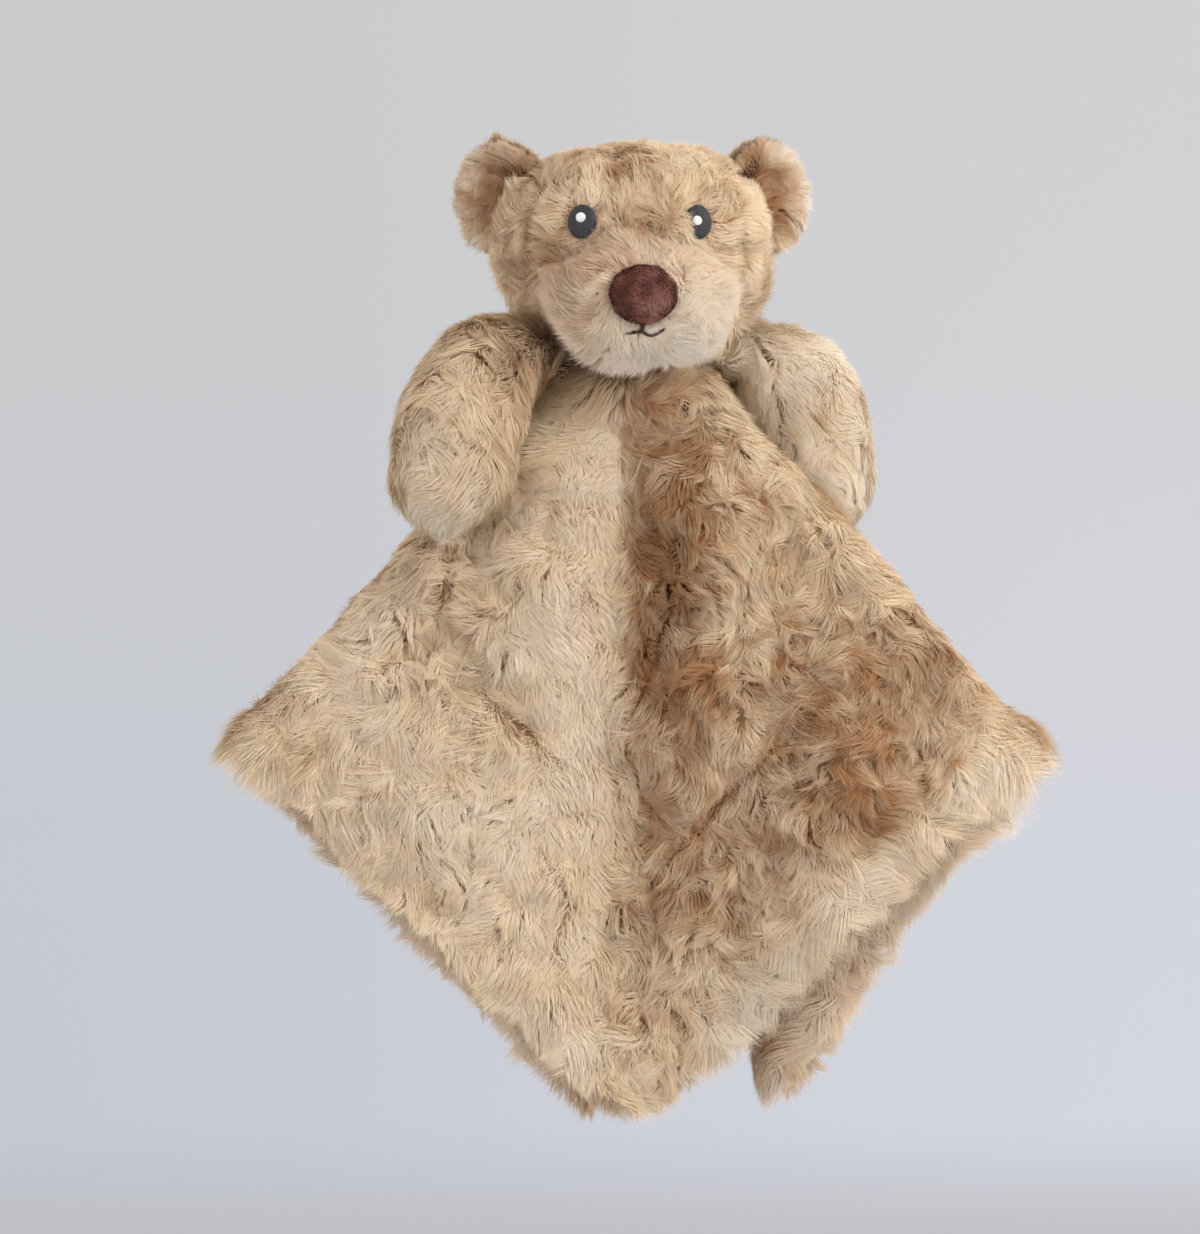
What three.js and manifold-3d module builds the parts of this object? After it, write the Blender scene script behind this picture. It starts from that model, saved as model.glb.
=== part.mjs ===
// Comfort blanket: a stuffed bear head with cupped ears and two stuffed arms, sewn to the middle of a
// square blanket of long plush. It hangs by the crown of the head, and the blanket falls in folds.
// Millimetres, +Z up, the face looks along -Y, and the origin is the crown, where a thread holds it.
// Left and right are those of a viewer in front of the face.

import * as THREE from "three";
import { mergeVertices } from "three/addons/utils/BufferGeometryUtils.js";
import Module from "manifold-3d";

const wasm = await Module();
wasm.setup();

// Clearances
const seatGap = 0.3;
const overrun = 6;
const ovalSides = 20;

// Head: the cover is three plush panels, a wide one over the crown and one on each side
const headWidth = 89;
const headDepth = 78;
const headHeight = 70;
const headTurnDegrees = 3.5;
const plushWall = 4.5;
const crownPower = 2.5;
const cheekPower = 2.15;
const cheekTaperShare = 0.16;
const centrePanelShare = 0.708;
const headColumns = 24;
const headRows = 12;

// Neck
const neckDiameter = 34;
const basePanelThickness = 1.5;
const neckGatherHeight = 6.5;
const neckGatherWaist = 2;
const neckStitchHeight = 1.3;
const neckStitchWall = 3;

// Muzzle, nose, mouth and eyes
const muzzleWidth = 50;
const muzzleHeight = 37;
const muzzleReach = 15;
const muzzleDrop = 52.5;
const muzzleWall = 3.5;
const muzzlePower = 2.2;
const muzzleColumns = 18;
const muzzleRows = 10;
const noseWidth = 22;
const noseHeight = 19;
const noseThickness = 9;
const noseRise = 3.5;
const nosePower = 2.3;
const noseLowPower = 2;
const noseColumns = 20;
const noseRows = 10;
const mouthStitchRadius = 0.6;
const mouthStem = 4;
const mouthWidth = 11;
const mouthSag = 1.6;
const mouthStitchSides = 6;
const eyeSpacing = 38.5;
const eyeDrop = 26;
const eyeWidth = 9.5;
const eyeHeight = 11.6;
const eyeThickness = 3;
const eyeSink = 1;
const eyeColumns = 16;
const glintDiameter = 2.8;
const glintThickness = 0.8;
const glintRise = 2.2;
const glintShift = 0.6;

// Ears
const earWidth = 32;
const earHeight = 35;
const earWall = 3.6;
const earRimWall = 1.2;
const earCup = 6;
const earOutShare = 0.483;
const earBack = 2;
const earDropShare = 0.257;
const earYawDegrees = 34;
const earLeanDegrees = 14;
const earColumns = 20;
const earRings = 4;
const earRimPower = 4;

// Arms
const armLength = 74;
const armWidth = 38;
const armWall = 4;
const armSeatOut = 10;
const armRootWidth = 17;
const armRootHeight = 5;
const armRootWall = 1.2;
const armSides = 14;
const armRings = 12;
const armCollarRings = 2;
const shoulderSeamLength = 1.4;
const loweringPasses = 6;
const armSwellShare = 0.5;
const armPawShare = 0.74;
const armCollarShare = 0.05;
const armOutShares = [0, 0.14, 0.31, 0.43, 0.46, 0.45];
const armDropShares = [0, -0.03, 0.06, 0.31, 0.54, 0.76];
const armForwardShares = [0.12, 0.32, 0.66, 0.93, 1.04, 1.08];
const armBackShares = [0.04, 0.12, 0.22, 0.3, 0.36, 0.4];

// Blanket: two square plush panels, pile outwards, sewn round the edge
const blanketSide = 350;
const cornerPower = 20;
const panelThickness = 6;
const panelEdgeThickness = 2.4;
const panelNeckThickness = 3.4;
const layerGap = 1.4;
const edgeTaper = 14;
const edgeSeamDiameter = 1.2;
const edgeSeamSides = 5;
const tuckRightDegrees = 11;
const tuckLeftDegrees = 1;
const shoulderSpreadDegrees = 16;
const shoulderSpreadRadius = 31;
const shoulderSpreadFade = 60;
const backDrawInDegrees = 10;
const backDrawInReach = 75;
const backDrawInWidth = 45;
const foldSpacing = 18;
const foldStart = 75;
const domeSideShare = 0.8;
const domeFrontShare = 0.3;
const frontBulge = 5;
const sway = 4;
const swayWavelength = 150;
const swayPhase = 1;
const diagonalDegrees = 45;
const creaseOutShares = [-0.023, -0.023, -0.029, -0.063];
const creaseDownShares = [0.093, 0.482, 0.739, 1.202];
const creaseDepth = 6;
const creaseLeftReach = 12;
const creaseRightReach = 20;
const settlingPasses = 3;
const blanketRowShares = [0, 0.05, 0.1, 0.14, 0.19, 0.26, 0.36, 0.48, 0.62, 0.76, 0.88, 0.965, 1];
const frontShares = [0, 0.08, 0.2, 0.36, 0.56, 0.78];
const bendColumns = 4;
const sideColumns = 2;
const backColumns = 3;

// Places worked out from the sizes above
const headRadii = new THREE.Vector3(headWidth / 2, headDepth / 2, headHeight / 2);
const headCentre = new THREE.Vector3(0, 0, -headHeight / 2);
const neckRadius = neckDiameter / 2;
const deg = THREE.MathUtils.degToRad;
const smooth = THREE.MathUtils.smoothstep;
const lerp = THREE.MathUtils.lerp;

// Materials
function plain(color, roughness) {
  return new THREE.MeshStandardMaterial({ color, roughness, metalness: 0 });
}
const plush = plain(0xc9a57c, 0.95);
const palePlush = plain(0xd9bd95, 0.95);
const wadding = plain(0xf1eee6, 1);
const velour = plain(0x55302c, 0.9);
const charcoal = plain(0x34343a, 0.7);
const white = plain(0xf4f4f2, 0.6);
const thread = plain(0xa5835c, 0.8);
const darkThread = plain(0x3a2522, 0.8);

// A closed mesh from its points and triangles, turned right side out
function closedGeometry(points, triangles) {
  const geometry = new THREE.BufferGeometry();
  const flat = points.flatMap((p) => [p.x, p.y, p.z]);
  geometry.setAttribute("position", new THREE.Float32BufferAttribute(flat, 3));
  let volume = 0;
  for (const [a, b, c] of triangles) volume += points[a].dot(points[b].clone().cross(points[c]));
  geometry.setIndex(triangles.flatMap(([a, b, c]) => (volume > 0 ? [a, b, c] : [a, c, b])));
  return geometry;
}

// A ball-like lattice at place(column, ring): rings of columns between two poles, ring 0 and the last one
function ballLattice(columns, rings, place) {
  const points = [place(0, 0)];
  for (let ring = 1; ring < rings; ring++) {
    for (let column = 0; column < columns; column++) points.push(place(column, ring));
  }
  points.push(place(0, rings));
  const last = points.length - 1;
  const at = (column, ring) => 1 + (ring - 1) * columns + (column % columns);
  const triangles = [];
  for (let column = 0; column < columns; column++) {
    triangles.push([0, at(column + 1, 1), at(column, 1)]);
    triangles.push([last, at(column, rings - 1), at(column + 1, rings - 1)]);
    for (let ring = 1; ring < rings - 1; ring++) {
      const [a, b] = [at(column, ring), at(column + 1, ring)];
      const [c, d] = [at(column + 1, ring + 1), at(column, ring + 1)];
      triangles.push([a, b, c], [a, c, d]);
    }
  }
  return closedGeometry(points, triangles);
}

// A ring-like lattice: sections that close on themselves both ways, at place(column, side)
function loopLattice(columns, sides, place) {
  const points = [];
  for (let column = 0; column < columns; column++) {
    for (let side = 0; side < sides; side++) points.push(place(column, side));
  }
  const at = (column, side) => (column % columns) * sides + (side % sides);
  const triangles = [];
  for (let column = 0; column < columns; column++) {
    for (let side = 0; side < sides; side++) {
      const [a, b] = [at(column, side), at(column + 1, side)];
      const [c, d] = [at(column + 1, side + 1), at(column, side + 1)];
      triangles.push([a, b, c], [a, c, d]);
    }
  }
  return closedGeometry(points, triangles);
}

// Booleans on closed meshes
function solid(geometry) {
  const bare = geometry.clone();
  bare.deleteAttribute("normal");
  bare.deleteAttribute("uv");
  const merged = mergeVertices(bare);
  return new wasm.Manifold(
    new wasm.Mesh({
      numProp: 3,
      vertProperties: new Float32Array(merged.attributes.position.array),
      triVerts: new Uint32Array(merged.index.array),
    }),
  );
}

function geometryOf(manifold) {
  const { vertProperties, triVerts } = manifold.getMesh();
  const geometry = new THREE.BufferGeometry();
  geometry.setAttribute("position", new THREE.BufferAttribute(new Float32Array(vertProperties), 3));
  geometry.setIndex(new THREE.BufferAttribute(new Uint32Array(triVerts), 1));
  geometry.computeVertexNormals();
  return geometry;
}

function boxBetween(low, high) {
  const size = high.clone().sub(low);
  const middle = low.clone().add(high).multiplyScalar(0.5);
  return solid(new THREE.BoxGeometry(size.x, size.y, size.z).translate(middle.x, middle.y, middle.z));
}

// An upright disc or ring between two heights; a radius of 0 inside makes a disc
function upright(outerRadius, innerRadius, bottom, top) {
  const profile = [
    new THREE.Vector2(innerRadius, bottom),
    new THREE.Vector2(outerRadius, bottom),
    new THREE.Vector2(outerRadius, top),
    new THREE.Vector2(innerRadius, top),
  ];
  if (innerRadius > 0) profile.push(profile[0].clone());
  return solid(new THREE.LatheGeometry(profile, ovalSides).rotateX(Math.PI / 2));
}

// A rounded form whose section swells more squarely as the power rises above 2
function swollen(radii, centre, powerAbove, powerBelow, taperShare, columns, rings) {
  return ballLattice(columns, rings, (column, ring) => {
    const around = (2 * Math.PI * column) / columns;
    const up = Math.PI * (ring / rings - 1 / 2);
    const flat = Math.cos(up);
    const d = new THREE.Vector3(flat * Math.cos(around), flat * Math.sin(around), Math.sin(up));
    const power = d.z > 0 ? powerAbove : powerBelow;
    const norm = (Math.abs(d.x) ** power + Math.abs(d.y) ** power + Math.abs(d.z) ** power) ** (1 / power);
    const p = d.divideScalar(norm);
    const taper = 1 - taperShare * smooth(-p.z, 0, 1);
    return new THREE.Vector3(p.x * radii.x * taper, p.y * radii.y, p.z * radii.z).add(centre);
  });
}

function headForm(offset) {
  const radii = headRadii.clone().addScalar(offset);
  return solid(swollen(radii, headCentre, crownPower, cheekPower, cheekTaperShare, headColumns, headRows));
}

// The point of the head's surface in front of a given x and z, and the way that it faces
function headFront(x, z) {
  const depthAt = (px, pz) => {
    const up = (pz - headCentre.z) / headRadii.z;
    const power = up > 0 ? crownPower : cheekPower;
    const taper = 1 - cheekTaperShare * smooth(-up, 0, 1);
    const side = Math.abs(px / (headRadii.x * taper));
    return -headRadii.y * Math.max(0, 1 - side ** power - Math.abs(up) ** power) ** (1 / power);
  };
  const step = seatGap;
  const point = new THREE.Vector3(x, depthAt(x, z), z);
  const slopeX = (depthAt(x + step, z) - depthAt(x - step, z)) / (2 * step);
  const slopeZ = (depthAt(x, z + step) - depthAt(x, z - step)) / (2 * step);
  return { point, facing: new THREE.Vector3(slopeX, -1, slopeZ).normalize() };
}

function muzzleShape(radii, centre) {
  return swollen(radii, centre, muzzlePower, muzzlePower, 0, muzzleColumns, muzzleRows);
}

// Head cover, its wadding, the panel that closes it and the muzzle
function makeHead() {
  const outer = headForm(0);
  const inner = headForm(-plushWall);
  const room = headForm(seatGap);
  const baseTop = -headHeight + plushWall;
  const opening = upright(neckRadius, 0, -headHeight - overrun, baseTop + seatGap);
  const eyes = [-1, 1].map((side) => makeEye(side));
  let cover = outer.subtract(inner).subtract(opening);
  for (const eye of eyes) cover = cover.subtract(eye.pocket);
  const half = (centrePanelShare * headWidth) / 2;
  const reach = headWidth;
  const between = (left, right) =>
    boxBetween(new THREE.Vector3(left, -reach, -2 * reach), new THREE.Vector3(right, reach, reach));
  const centrePanel = cover.intersect(between(-half + seatGap / 2, half - seatGap / 2));
  const leftPanel = cover.intersect(between(-reach, -half - seatGap / 2));
  const rightPanel = cover.intersect(between(half + seatGap / 2, reach));
  let filling = headForm(-plushWall - seatGap);
  filling = filling.subtract(upright(headWidth, 0, -headHeight - overrun, baseTop + seatGap));
  for (const eye of eyes) filling = filling.subtract(eye.pocket);
  const panelLow = baseTop - basePanelThickness;
  const base = upright(neckRadius - seatGap, 0, panelLow, baseTop);

  const muzzleCentre = new THREE.Vector3(0, -headDepth / 2, -muzzleDrop);
  const muzzleRadii = new THREE.Vector3(muzzleWidth / 2, muzzleReach, muzzleHeight / 2);
  const muzzleForm = (offset) => solid(muzzleShape(muzzleRadii.clone().addScalar(offset), muzzleCentre));
  const muzzleOuter = muzzleForm(0);
  const muzzle = muzzleOuter.subtract(muzzleForm(-muzzleWall)).subtract(room);
  const muzzleFilling = muzzleForm(-muzzleWall - seatGap).subtract(room);

  const noseRadii = new THREE.Vector3(noseWidth / 2, noseThickness / 2, noseHeight / 2);
  const noseCentre = new THREE.Vector3(0, -headDepth / 2 - muzzleReach, -muzzleDrop + noseRise);
  const noseShape = swollen(noseRadii, noseCentre, nosePower, noseLowPower, 0, noseColumns, noseRows);
  const nose = solid(noseShape).subtract(muzzleForm(seatGap));

  return {
    centrePanel,
    leftPanel,
    rightPanel,
    filling,
    base,
    panelLow,
    muzzle,
    muzzleFilling,
    nose,
    mouth: makeMouth(muzzleCentre, muzzleRadii),
    eyes,
    room,
  };
}

// A stitch of embroidery thread that lies on the muzzle: a short stem under the nose and a shallow smile
function makeMouth(muzzleCentre, muzzleRadii) {
  const onMuzzle = (x, z) => {
    const side = Math.abs(x / muzzleRadii.x) ** muzzlePower;
    const up = Math.abs((z - muzzleCentre.z) / muzzleRadii.z) ** muzzlePower;
    const depth = muzzleRadii.y * Math.max(0, 1 - side - up) ** (1 / muzzlePower);
    return new THREE.Vector3(x, muzzleCentre.y - depth - mouthStitchRadius - seatGap, z);
  };
  const top = muzzleCentre.z + noseRise - noseHeight / 2 - seatGap - mouthStitchRadius;
  const stitch = (points) => {
    const curve = new THREE.CatmullRomCurve3(points);
    const steps = 2 * (points.length - 1);
    const circle = new THREE.EllipseCurve(0, 0, mouthStitchRadius, mouthStitchRadius);
    const outline = new THREE.Shape(circle.getPoints(mouthStitchSides));
    return solid(new THREE.ExtrudeGeometry(outline, { steps, bevelEnabled: false, extrudePath: curve }));
  };
  const stemShares = [0, 0.5, 1];
  const smileShares = [-1, -0.6, -0.2, 0.2, 0.6, 1];
  const stem = stitch(stemShares.map((share) => onMuzzle(0, top - share * (mouthStem + mouthSag))));
  const smileTop = top - mouthStem;
  const smile = stitch(
    smileShares.map((share) => onMuzzle((share * mouthWidth) / 2, smileTop - mouthSag * (1 - share ** 2))),
  );
  return stem.add(smile);
}

// An embroidered eye: an oval that is let into the pile, with a small white glint
function makeEye(side) {
  const { point, facing } = headFront((side * eyeSpacing) / 2, -eyeDrop);
  const turn = new THREE.Quaternion().setFromUnitVectors(new THREE.Vector3(0, -1, 0), facing);
  const oval = (width, height, thickness, sink, x, z) => {
    const shape = new THREE.CylinderGeometry(0.5, 0.5, 1, eyeColumns).scale(width, thickness, height);
    shape.translate(x, sink + thickness / 2, z).applyQuaternion(turn);
    return solid(shape.translate(point.x, point.y, point.z));
  };
  const clear = 2 * seatGap;
  const pocketDepth = eyeThickness + seatGap + overrun;
  const glintSink = eyeSink - glintThickness / 2;
  const glint = oval(glintDiameter, glintDiameter, glintThickness, glintSink, -glintShift, glintRise);
  const socket = oval(
    glintDiameter + clear,
    glintDiameter + clear,
    glintThickness + seatGap,
    glintSink,
    -glintShift,
    glintRise,
  );
  return {
    eye: oval(eyeWidth, eyeHeight, eyeThickness, eyeSink, 0, 0).subtract(socket),
    glint,
    pocket: oval(eyeWidth + clear, eyeHeight + clear, pocketDepth, eyeSink - overrun, 0, 0),
  };
}

// An ear: two cupped plush ovals, one inside the other, cut to the head where they are sewn on
function makeEar(side, room) {
  const place = new THREE.Matrix4()
    .makeRotationZ(deg(side * earYawDegrees))
    .multiply(new THREE.Matrix4().makeRotationY(deg(side * earLeanDegrees)))
    .setPosition(side * earOutShare * headWidth, earBack, -earDropShare * headHeight);
  const layer = (from, to, fromRim, toRim) =>
    ballLattice(earColumns, 2 * earRings, (column, ring) => {
      const around = (2 * Math.PI * column) / earColumns;
      const onTop = ring <= earRings;
      const share = Math.sin(((onTop ? ring : 2 * earRings - ring) / earRings) * (Math.PI / 2));
      const cup = earCup * (1 - share ** 2);
      const plainDepth = onTop ? from : to;
      const rimDepth = onTop ? fromRim : toRim;
      const depth = cup + lerp(plainDepth, rimDepth, share ** earRimPower);
      const across = (side * earWidth * share * Math.cos(around)) / 2;
      return new THREE.Vector3(across, depth, (earHeight * share * Math.sin(around)) / 2).applyMatrix4(place);
    });
  const half = seatGap / 2;
  const inner = solid(layer(-earWall, -half, -earRimWall, -half)).subtract(room);
  const outer = solid(layer(half, earWall, half, earRimWall)).subtract(room);
  return { inner: largestPiece(inner), outer: largestPiece(outer) };
}

function largestPiece(manifold) {
  const pieces = manifold.decompose();
  return pieces.reduce((best, piece) => (piece.volume() > best.volume() ? piece : best));
}

// Neck
const headBase = -headHeight + plushWall - basePanelThickness;
const gatherTop = headBase - seatGap;
const gatherLow = gatherTop - neckGatherHeight;
const stitchTop = gatherLow - seatGap;
const stitchLow = stitchTop - neckStitchHeight;
const blanketTop = stitchLow - seatGap;

// Blanket: the material is measured in polar coordinates round its middle, where angle 0 runs to the front
// corner and a quarter turn to the right corner. The front and back quarters hang flat, each side quarter
// is folded on its diagonal between them, and near the neck the folds fade into a small dome.
const blanketHalf = blanketSide / 2;
const faceOffset = panelThickness + seatGap / 2;
const layerPitch = 2 * faceOffset + layerGap;
const bendRadius = layerPitch / 2;

function ridgeAngle(rho) {
  const fade = Math.exp(-(rho - shoulderSpreadRadius) / shoulderSpreadFade);
  return deg(diagonalDegrees + shoulderSpreadDegrees * fade);
}

function backRidgeAngle(rho) {
  const share = Math.exp(-(((rho - backDrawInReach) / backDrawInWidth) ** 2));
  return deg(diagonalDegrees - backDrawInDegrees * share);
}

function evenShares(columns) {
  return Array.from({ length: columns }, (_, column) => column / columns);
}

// The front's main crease. It draws every layer back, in a bell across its line that is narrower on the left
function creaseDip(x, z) {
  const corners = creaseDownShares.map(
    (down, i) => new THREE.Vector2(creaseOutShares[i] * blanketHalf, blanketTop - down * blanketHalf),
  );
  let away = new THREE.Vector2(Infinity, 0);
  for (let i = 1; i < corners.length; i++) {
    const line = corners[i].clone().sub(corners[i - 1]);
    const from = new THREE.Vector2(x, z).sub(corners[i - 1]);
    const along = THREE.MathUtils.clamp(from.dot(line) / line.lengthSq(), 0, 1);
    from.addScaledVector(line, -along);
    if (from.length() < away.length()) away = from;
  }
  return creaseDepth * Math.exp(-((away.length() / (away.x < 0 ? creaseLeftReach : creaseRightReach)) ** 2));
}

// Half of the folded loop at one distance from the middle, from the front corner's line round to the back
// corner's: a list of places along the panel, depths and lengths of cloth so far
function foldedHalf(rho, tuckDegrees) {
  const ridge = rho * ridgeAngle(rho) - bendRadius;
  const backRidge = rho * backRidgeAngle(rho) - bendRadius;
  const tuck = Math.hypot(rho * deg(tuckDegrees), foldSpacing / 2) + bendRadius;
  const steps = [];
  const run = (from, to, depth, shares) => {
    for (const share of shares) steps.push([lerp(from, to, share), depth]);
  };
  const bend = (centre, depth, way) => {
    for (let cell = 0; cell < bendColumns; cell++) {
      const turn = Math.PI * (cell / bendColumns - 1 / 2);
      steps.push([centre + way * bendRadius * Math.cos(turn), depth + bendRadius * Math.sin(turn)]);
    }
  };
  run(0, ridge, -1.5 * layerPitch, frontShares);
  bend(ridge, -layerPitch, 1);
  run(ridge, tuck, -0.5 * layerPitch, evenShares(sideColumns));
  bend(tuck, 0, -1);
  run(tuck, backRidge, 0.5 * layerPitch, evenShares(sideColumns));
  bend(backRidge, layerPitch, 1);
  run(backRidge, 0, 1.5 * layerPitch, evenShares(backColumns));
  steps.push([0, 1.5 * layerPitch]);
  let cloth = 0;
  return steps.map(([along, depth], i) => {
    if (i > 0) cloth += Math.hypot(along - steps[i - 1][0], depth - steps[i - 1][1]);
    return { along, depth, cloth };
  });
}

const frontColumns = frontShares.length;
const halfCells = frontColumns + 3 * bendColumns + 2 * sideColumns + backColumns;
const blanketColumns = 2 * halfCells;

// How far the rounded square's edge lies from its middle; the corners are at quarter turns
function edgeDistance(angle) {
  const fromMidEdge = angle - Math.PI / 4;
  const [x, y] = [Math.abs(Math.cos(fromMidEdge)), Math.abs(Math.sin(fromMidEdge))];
  const across = x ** cornerPower + y ** cornerPower;
  return blanketHalf / across ** (1 / cornerPower);
}

// The middle surface of the blanket at one column and one share of the way from the neck to the edge
function blanketMiddle(column, share, past = 0) {
  const wrapped = ((column % blanketColumns) + blanketColumns) % blanketColumns;
  const side = wrapped <= halfCells ? 1 : -1;
  const index = side > 0 ? wrapped : blanketColumns - wrapped;
  const tuckDegrees = side > 0 ? tuckRightDegrees : tuckLeftDegrees;
  let rho = share * blanketHalf;
  let half = foldedHalf(Math.max(rho, neckRadius), tuckDegrees);
  for (let pass = 0; pass < settlingPasses; pass++) {
    const angle = (Math.PI * half[index].cloth) / half[halfCells].cloth;
    rho = share * lerp(blanketHalf, edgeDistance(angle), share ** 2) + past;
    half = foldedHalf(Math.max(rho, neckRadius), tuckDegrees);
  }
  const { along, depth, cloth } = half[index];
  const angle = (Math.PI * cloth) / half[halfCells].cloth;
  const swing = along / Math.max(rho, neckRadius);
  const onFront = index < frontColumns ? Math.sin(Math.PI * frontShares[index]) ** 2 : 0;
  const folded = new THREE.Vector3(rho * Math.sin(swing), depth, -rho * Math.cos(swing));
  const beyond = Math.max(0, rho - neckRadius);
  const within = Math.min(rho, neckRadius);
  const outShare = Math.hypot(domeSideShare * Math.sin(angle), domeFrontShare * Math.cos(angle));
  const dome = new THREE.Vector3(
    (within + domeSideShare * beyond) * Math.sin(angle),
    -(within + domeFrontShare * beyond) * Math.cos(angle),
    -beyond * Math.sqrt(1 - outShare ** 2),
  );
  const point = dome.lerp(folded, smooth(rho, neckRadius, foldStart));
  const farther = smooth(rho, foldStart, blanketHalf);
  point.y -= frontBulge * onFront * smooth(rho, neckRadius, foldStart);
  point.y += sway * farther * Math.sin((2 * Math.PI * side * point.x) / swayWavelength + swayPhase);
  point.x *= side;
  point.z += blanketTop - panelNeckThickness;
  point.y += creaseDip(point.x, point.z) * smooth(rho, neckRadius, 2 * neckRadius);
  return { point, rho, toEdge: edgeDistance(angle) - rho };
}

function blanketNormal(column, row) {
  const shares = blanketRowShares;
  const near = shares[Math.max(0, row - 1)];
  const far = shares[Math.min(shares.length - 1, row + 1)];
  const out = blanketMiddle(column, far).point.sub(blanketMiddle(column, near).point);
  const share = Math.max(shares[row], shares[1]);
  const round = blanketMiddle(column + 1, share).point.sub(blanketMiddle(column - 1, share).point);
  return out.cross(round).normalize();
}

// The blanket's middle surface and outward directions, worked out once for both panels
const blanketGrid = blanketRowShares.map((share, row) =>
  Array.from({ length: blanketColumns }, (_, column) => {
    const { point, rho, toEdge } = blanketMiddle(column, share);
    const normal = row === 0 ? new THREE.Vector3(0, 0, 1) : blanketNormal(column, row);
    return { point, rho, toEdge, normal };
  }),
);

function makeBlanketPanel(way) {
  const rows = blanketRowShares.length - 1;
  return ballLattice(blanketColumns, 2 * rows + 1, (column, ring) => {
    const outside = ring <= rows;
    const { point, rho, toEdge, normal } = blanketGrid[outside ? ring : 2 * rows + 1 - ring][column];
    const middle = lerp(panelNeckThickness, panelThickness, smooth(rho, neckRadius, 2 * neckRadius));
    const round = Math.sqrt(1 - (1 - smooth(toEdge, 0, edgeTaper)) ** 2);
    const thickness = lerp(panelEdgeThickness, middle, round);
    const offset = seatGap / 2 + (outside ? thickness : 0);
    return point.clone().addScaledVector(normal, way * offset);
  });
}

// The seam thread that closes the blanket's edge, just outside the two panels' rims
function makeEdgeSeam() {
  const radius = edgeSeamDiameter / 2;
  const rim = (column) => blanketMiddle(column, 1, radius + seatGap).point;
  return loopLattice(blanketColumns, edgeSeamSides, (column, side) => {
    const turn = (2 * Math.PI * side) / edgeSeamSides;
    const inward = rim(column).sub(blanketMiddle(column, 1).point).normalize();
    const normal = blanketGrid[blanketRowShares.length - 1][column % blanketColumns].normal;
    return rim(column)
      .addScaledVector(inward, radius * Math.cos(turn))
      .addScaledVector(normal, radius * Math.sin(turn));
  });
}

// The outer surface of the blanket beside the neck, where it is a given distance out
function shoulderSeat(out) {
  const index = frontColumns + bendColumns + sideColumns + bendColumns / 2;
  const surface = (share) => {
    const step = 1 / blanketSide;
    const along = blanketMiddle(index, share + step).point.sub(blanketMiddle(index, share - step).point);
    const normal = new THREE.Vector3(-along.z, 0, along.x).normalize();
    return blanketMiddle(index, share).point.addScaledVector(normal, faceOffset);
  };
  let near = neckRadius / blanketHalf;
  let far = foldStart / blanketHalf;
  while (far - near > 1 / blanketSide ** 2) {
    const middle = (near + far) / 2;
    if (surface(middle).x < out) near = middle;
    else far = middle;
  }
  return surface(near);
}

// Arms: a stuffed tube that starts flat at the neck seam, swells and ends in a round paw. The left one is
// brought forward over the blanket, and the right one hangs behind the blanket's front fold.
const armRoot = neckRadius + armSeatOut;
const armSeat = shoulderSeat(armRoot - shoulderSeamLength - seatGap);
const armTop = armSeat.z + armRootHeight / 2 + seatGap;
const armDepth = 1.5 * layerPitch + faceOffset + armWidth / 2;

function armPath(side) {
  const depthShares = side < 0 ? armForwardShares : armBackShares;
  const points = armOutShares.map((share, i) => {
    const out = armRoot + share * armLength;
    const height = armTop - armDropShares[i] * armLength;
    return new THREE.Vector3(side * out, side * depthShares[i] * armDepth, height);
  });
  return new THREE.CatmullRomCurve3(points);
}

// The middle of the arm at a share of its path, the ways across and over it, and its half width and height
function armSection(side, path, t) {
  const share = THREE.MathUtils.clamp(t, 0, 1);
  const tangent = path.getTangent(share);
  const centre = path.getPoint(share).addScaledVector(tangent, Math.min(t, 0) * armLength);
  const across = new THREE.Vector3(0, 1, 0).projectOnPlane(tangent).normalize();
  const swell = smooth(share, 0, armSwellShare);
  return {
    centre,
    across,
    over: tangent.clone().cross(across),
    width: lerp(armRootWidth, armWidth, swell) / 2,
    height: lerp(armRootHeight, armWidth, swell) / 2,
    wall: lerp(armRootWall, armWall, swell),
  };
}

// The arm's form, or with walls 1 the room inside its cover, smaller all round by a gap
function armForm(side, walls, gap, start) {
  const path = armPath(side);
  const end = 1 - (walls * armWall + gap) / armLength;
  return solid(
    ballLattice(armSides, armRings, (column, ring) => {
      const beyond = Math.max(0, ring - armCollarRings) / (armRings - armCollarRings);
      const along = Math.sin(beyond * (Math.PI / 2));
      const t = ring < armCollarRings ? start : lerp(armCollarShare, end, along);
      const { centre, across, over, width, height, wall } = armSection(side, path, t);
      const paw = Math.sqrt(1 - (Math.max(0, t - armPawShare) / (end - armPawShare)) ** 2);
      const closing = ring === 0 || ring === armRings ? 0 : paw;
      const inset = walls * wall + gap;
      const turn = (2 * Math.PI * column) / armSides;
      return centre
        .addScaledVector(across, closing * (width - inset) * Math.cos(turn))
        .addScaledVector(over, closing * (height - inset) * Math.sin(turn));
    }),
  );
}

// The half of space on one side of the arm's seams, which run round it in the plane of its path
function armHalf(side, way) {
  const path = armPath(side);
  const [root, elbow, paw] = [0, 0.5, 1].map((share) => path.getPoint(share));
  const normal = elbow.clone().sub(root).cross(paw.clone().sub(root)).normalize();
  if (normal.y < 0) normal.negate();
  const size = 4 * armLength;
  const turn = new THREE.Quaternion().setFromUnitVectors(new THREE.Vector3(0, 1, 0), normal);
  const box = new THREE.BoxGeometry(size, size, size).translate(0, (way * (size + seatGap)) / 2, 0);
  return solid(box.applyQuaternion(turn).translate(root.x, root.y, root.z));
}

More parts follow.
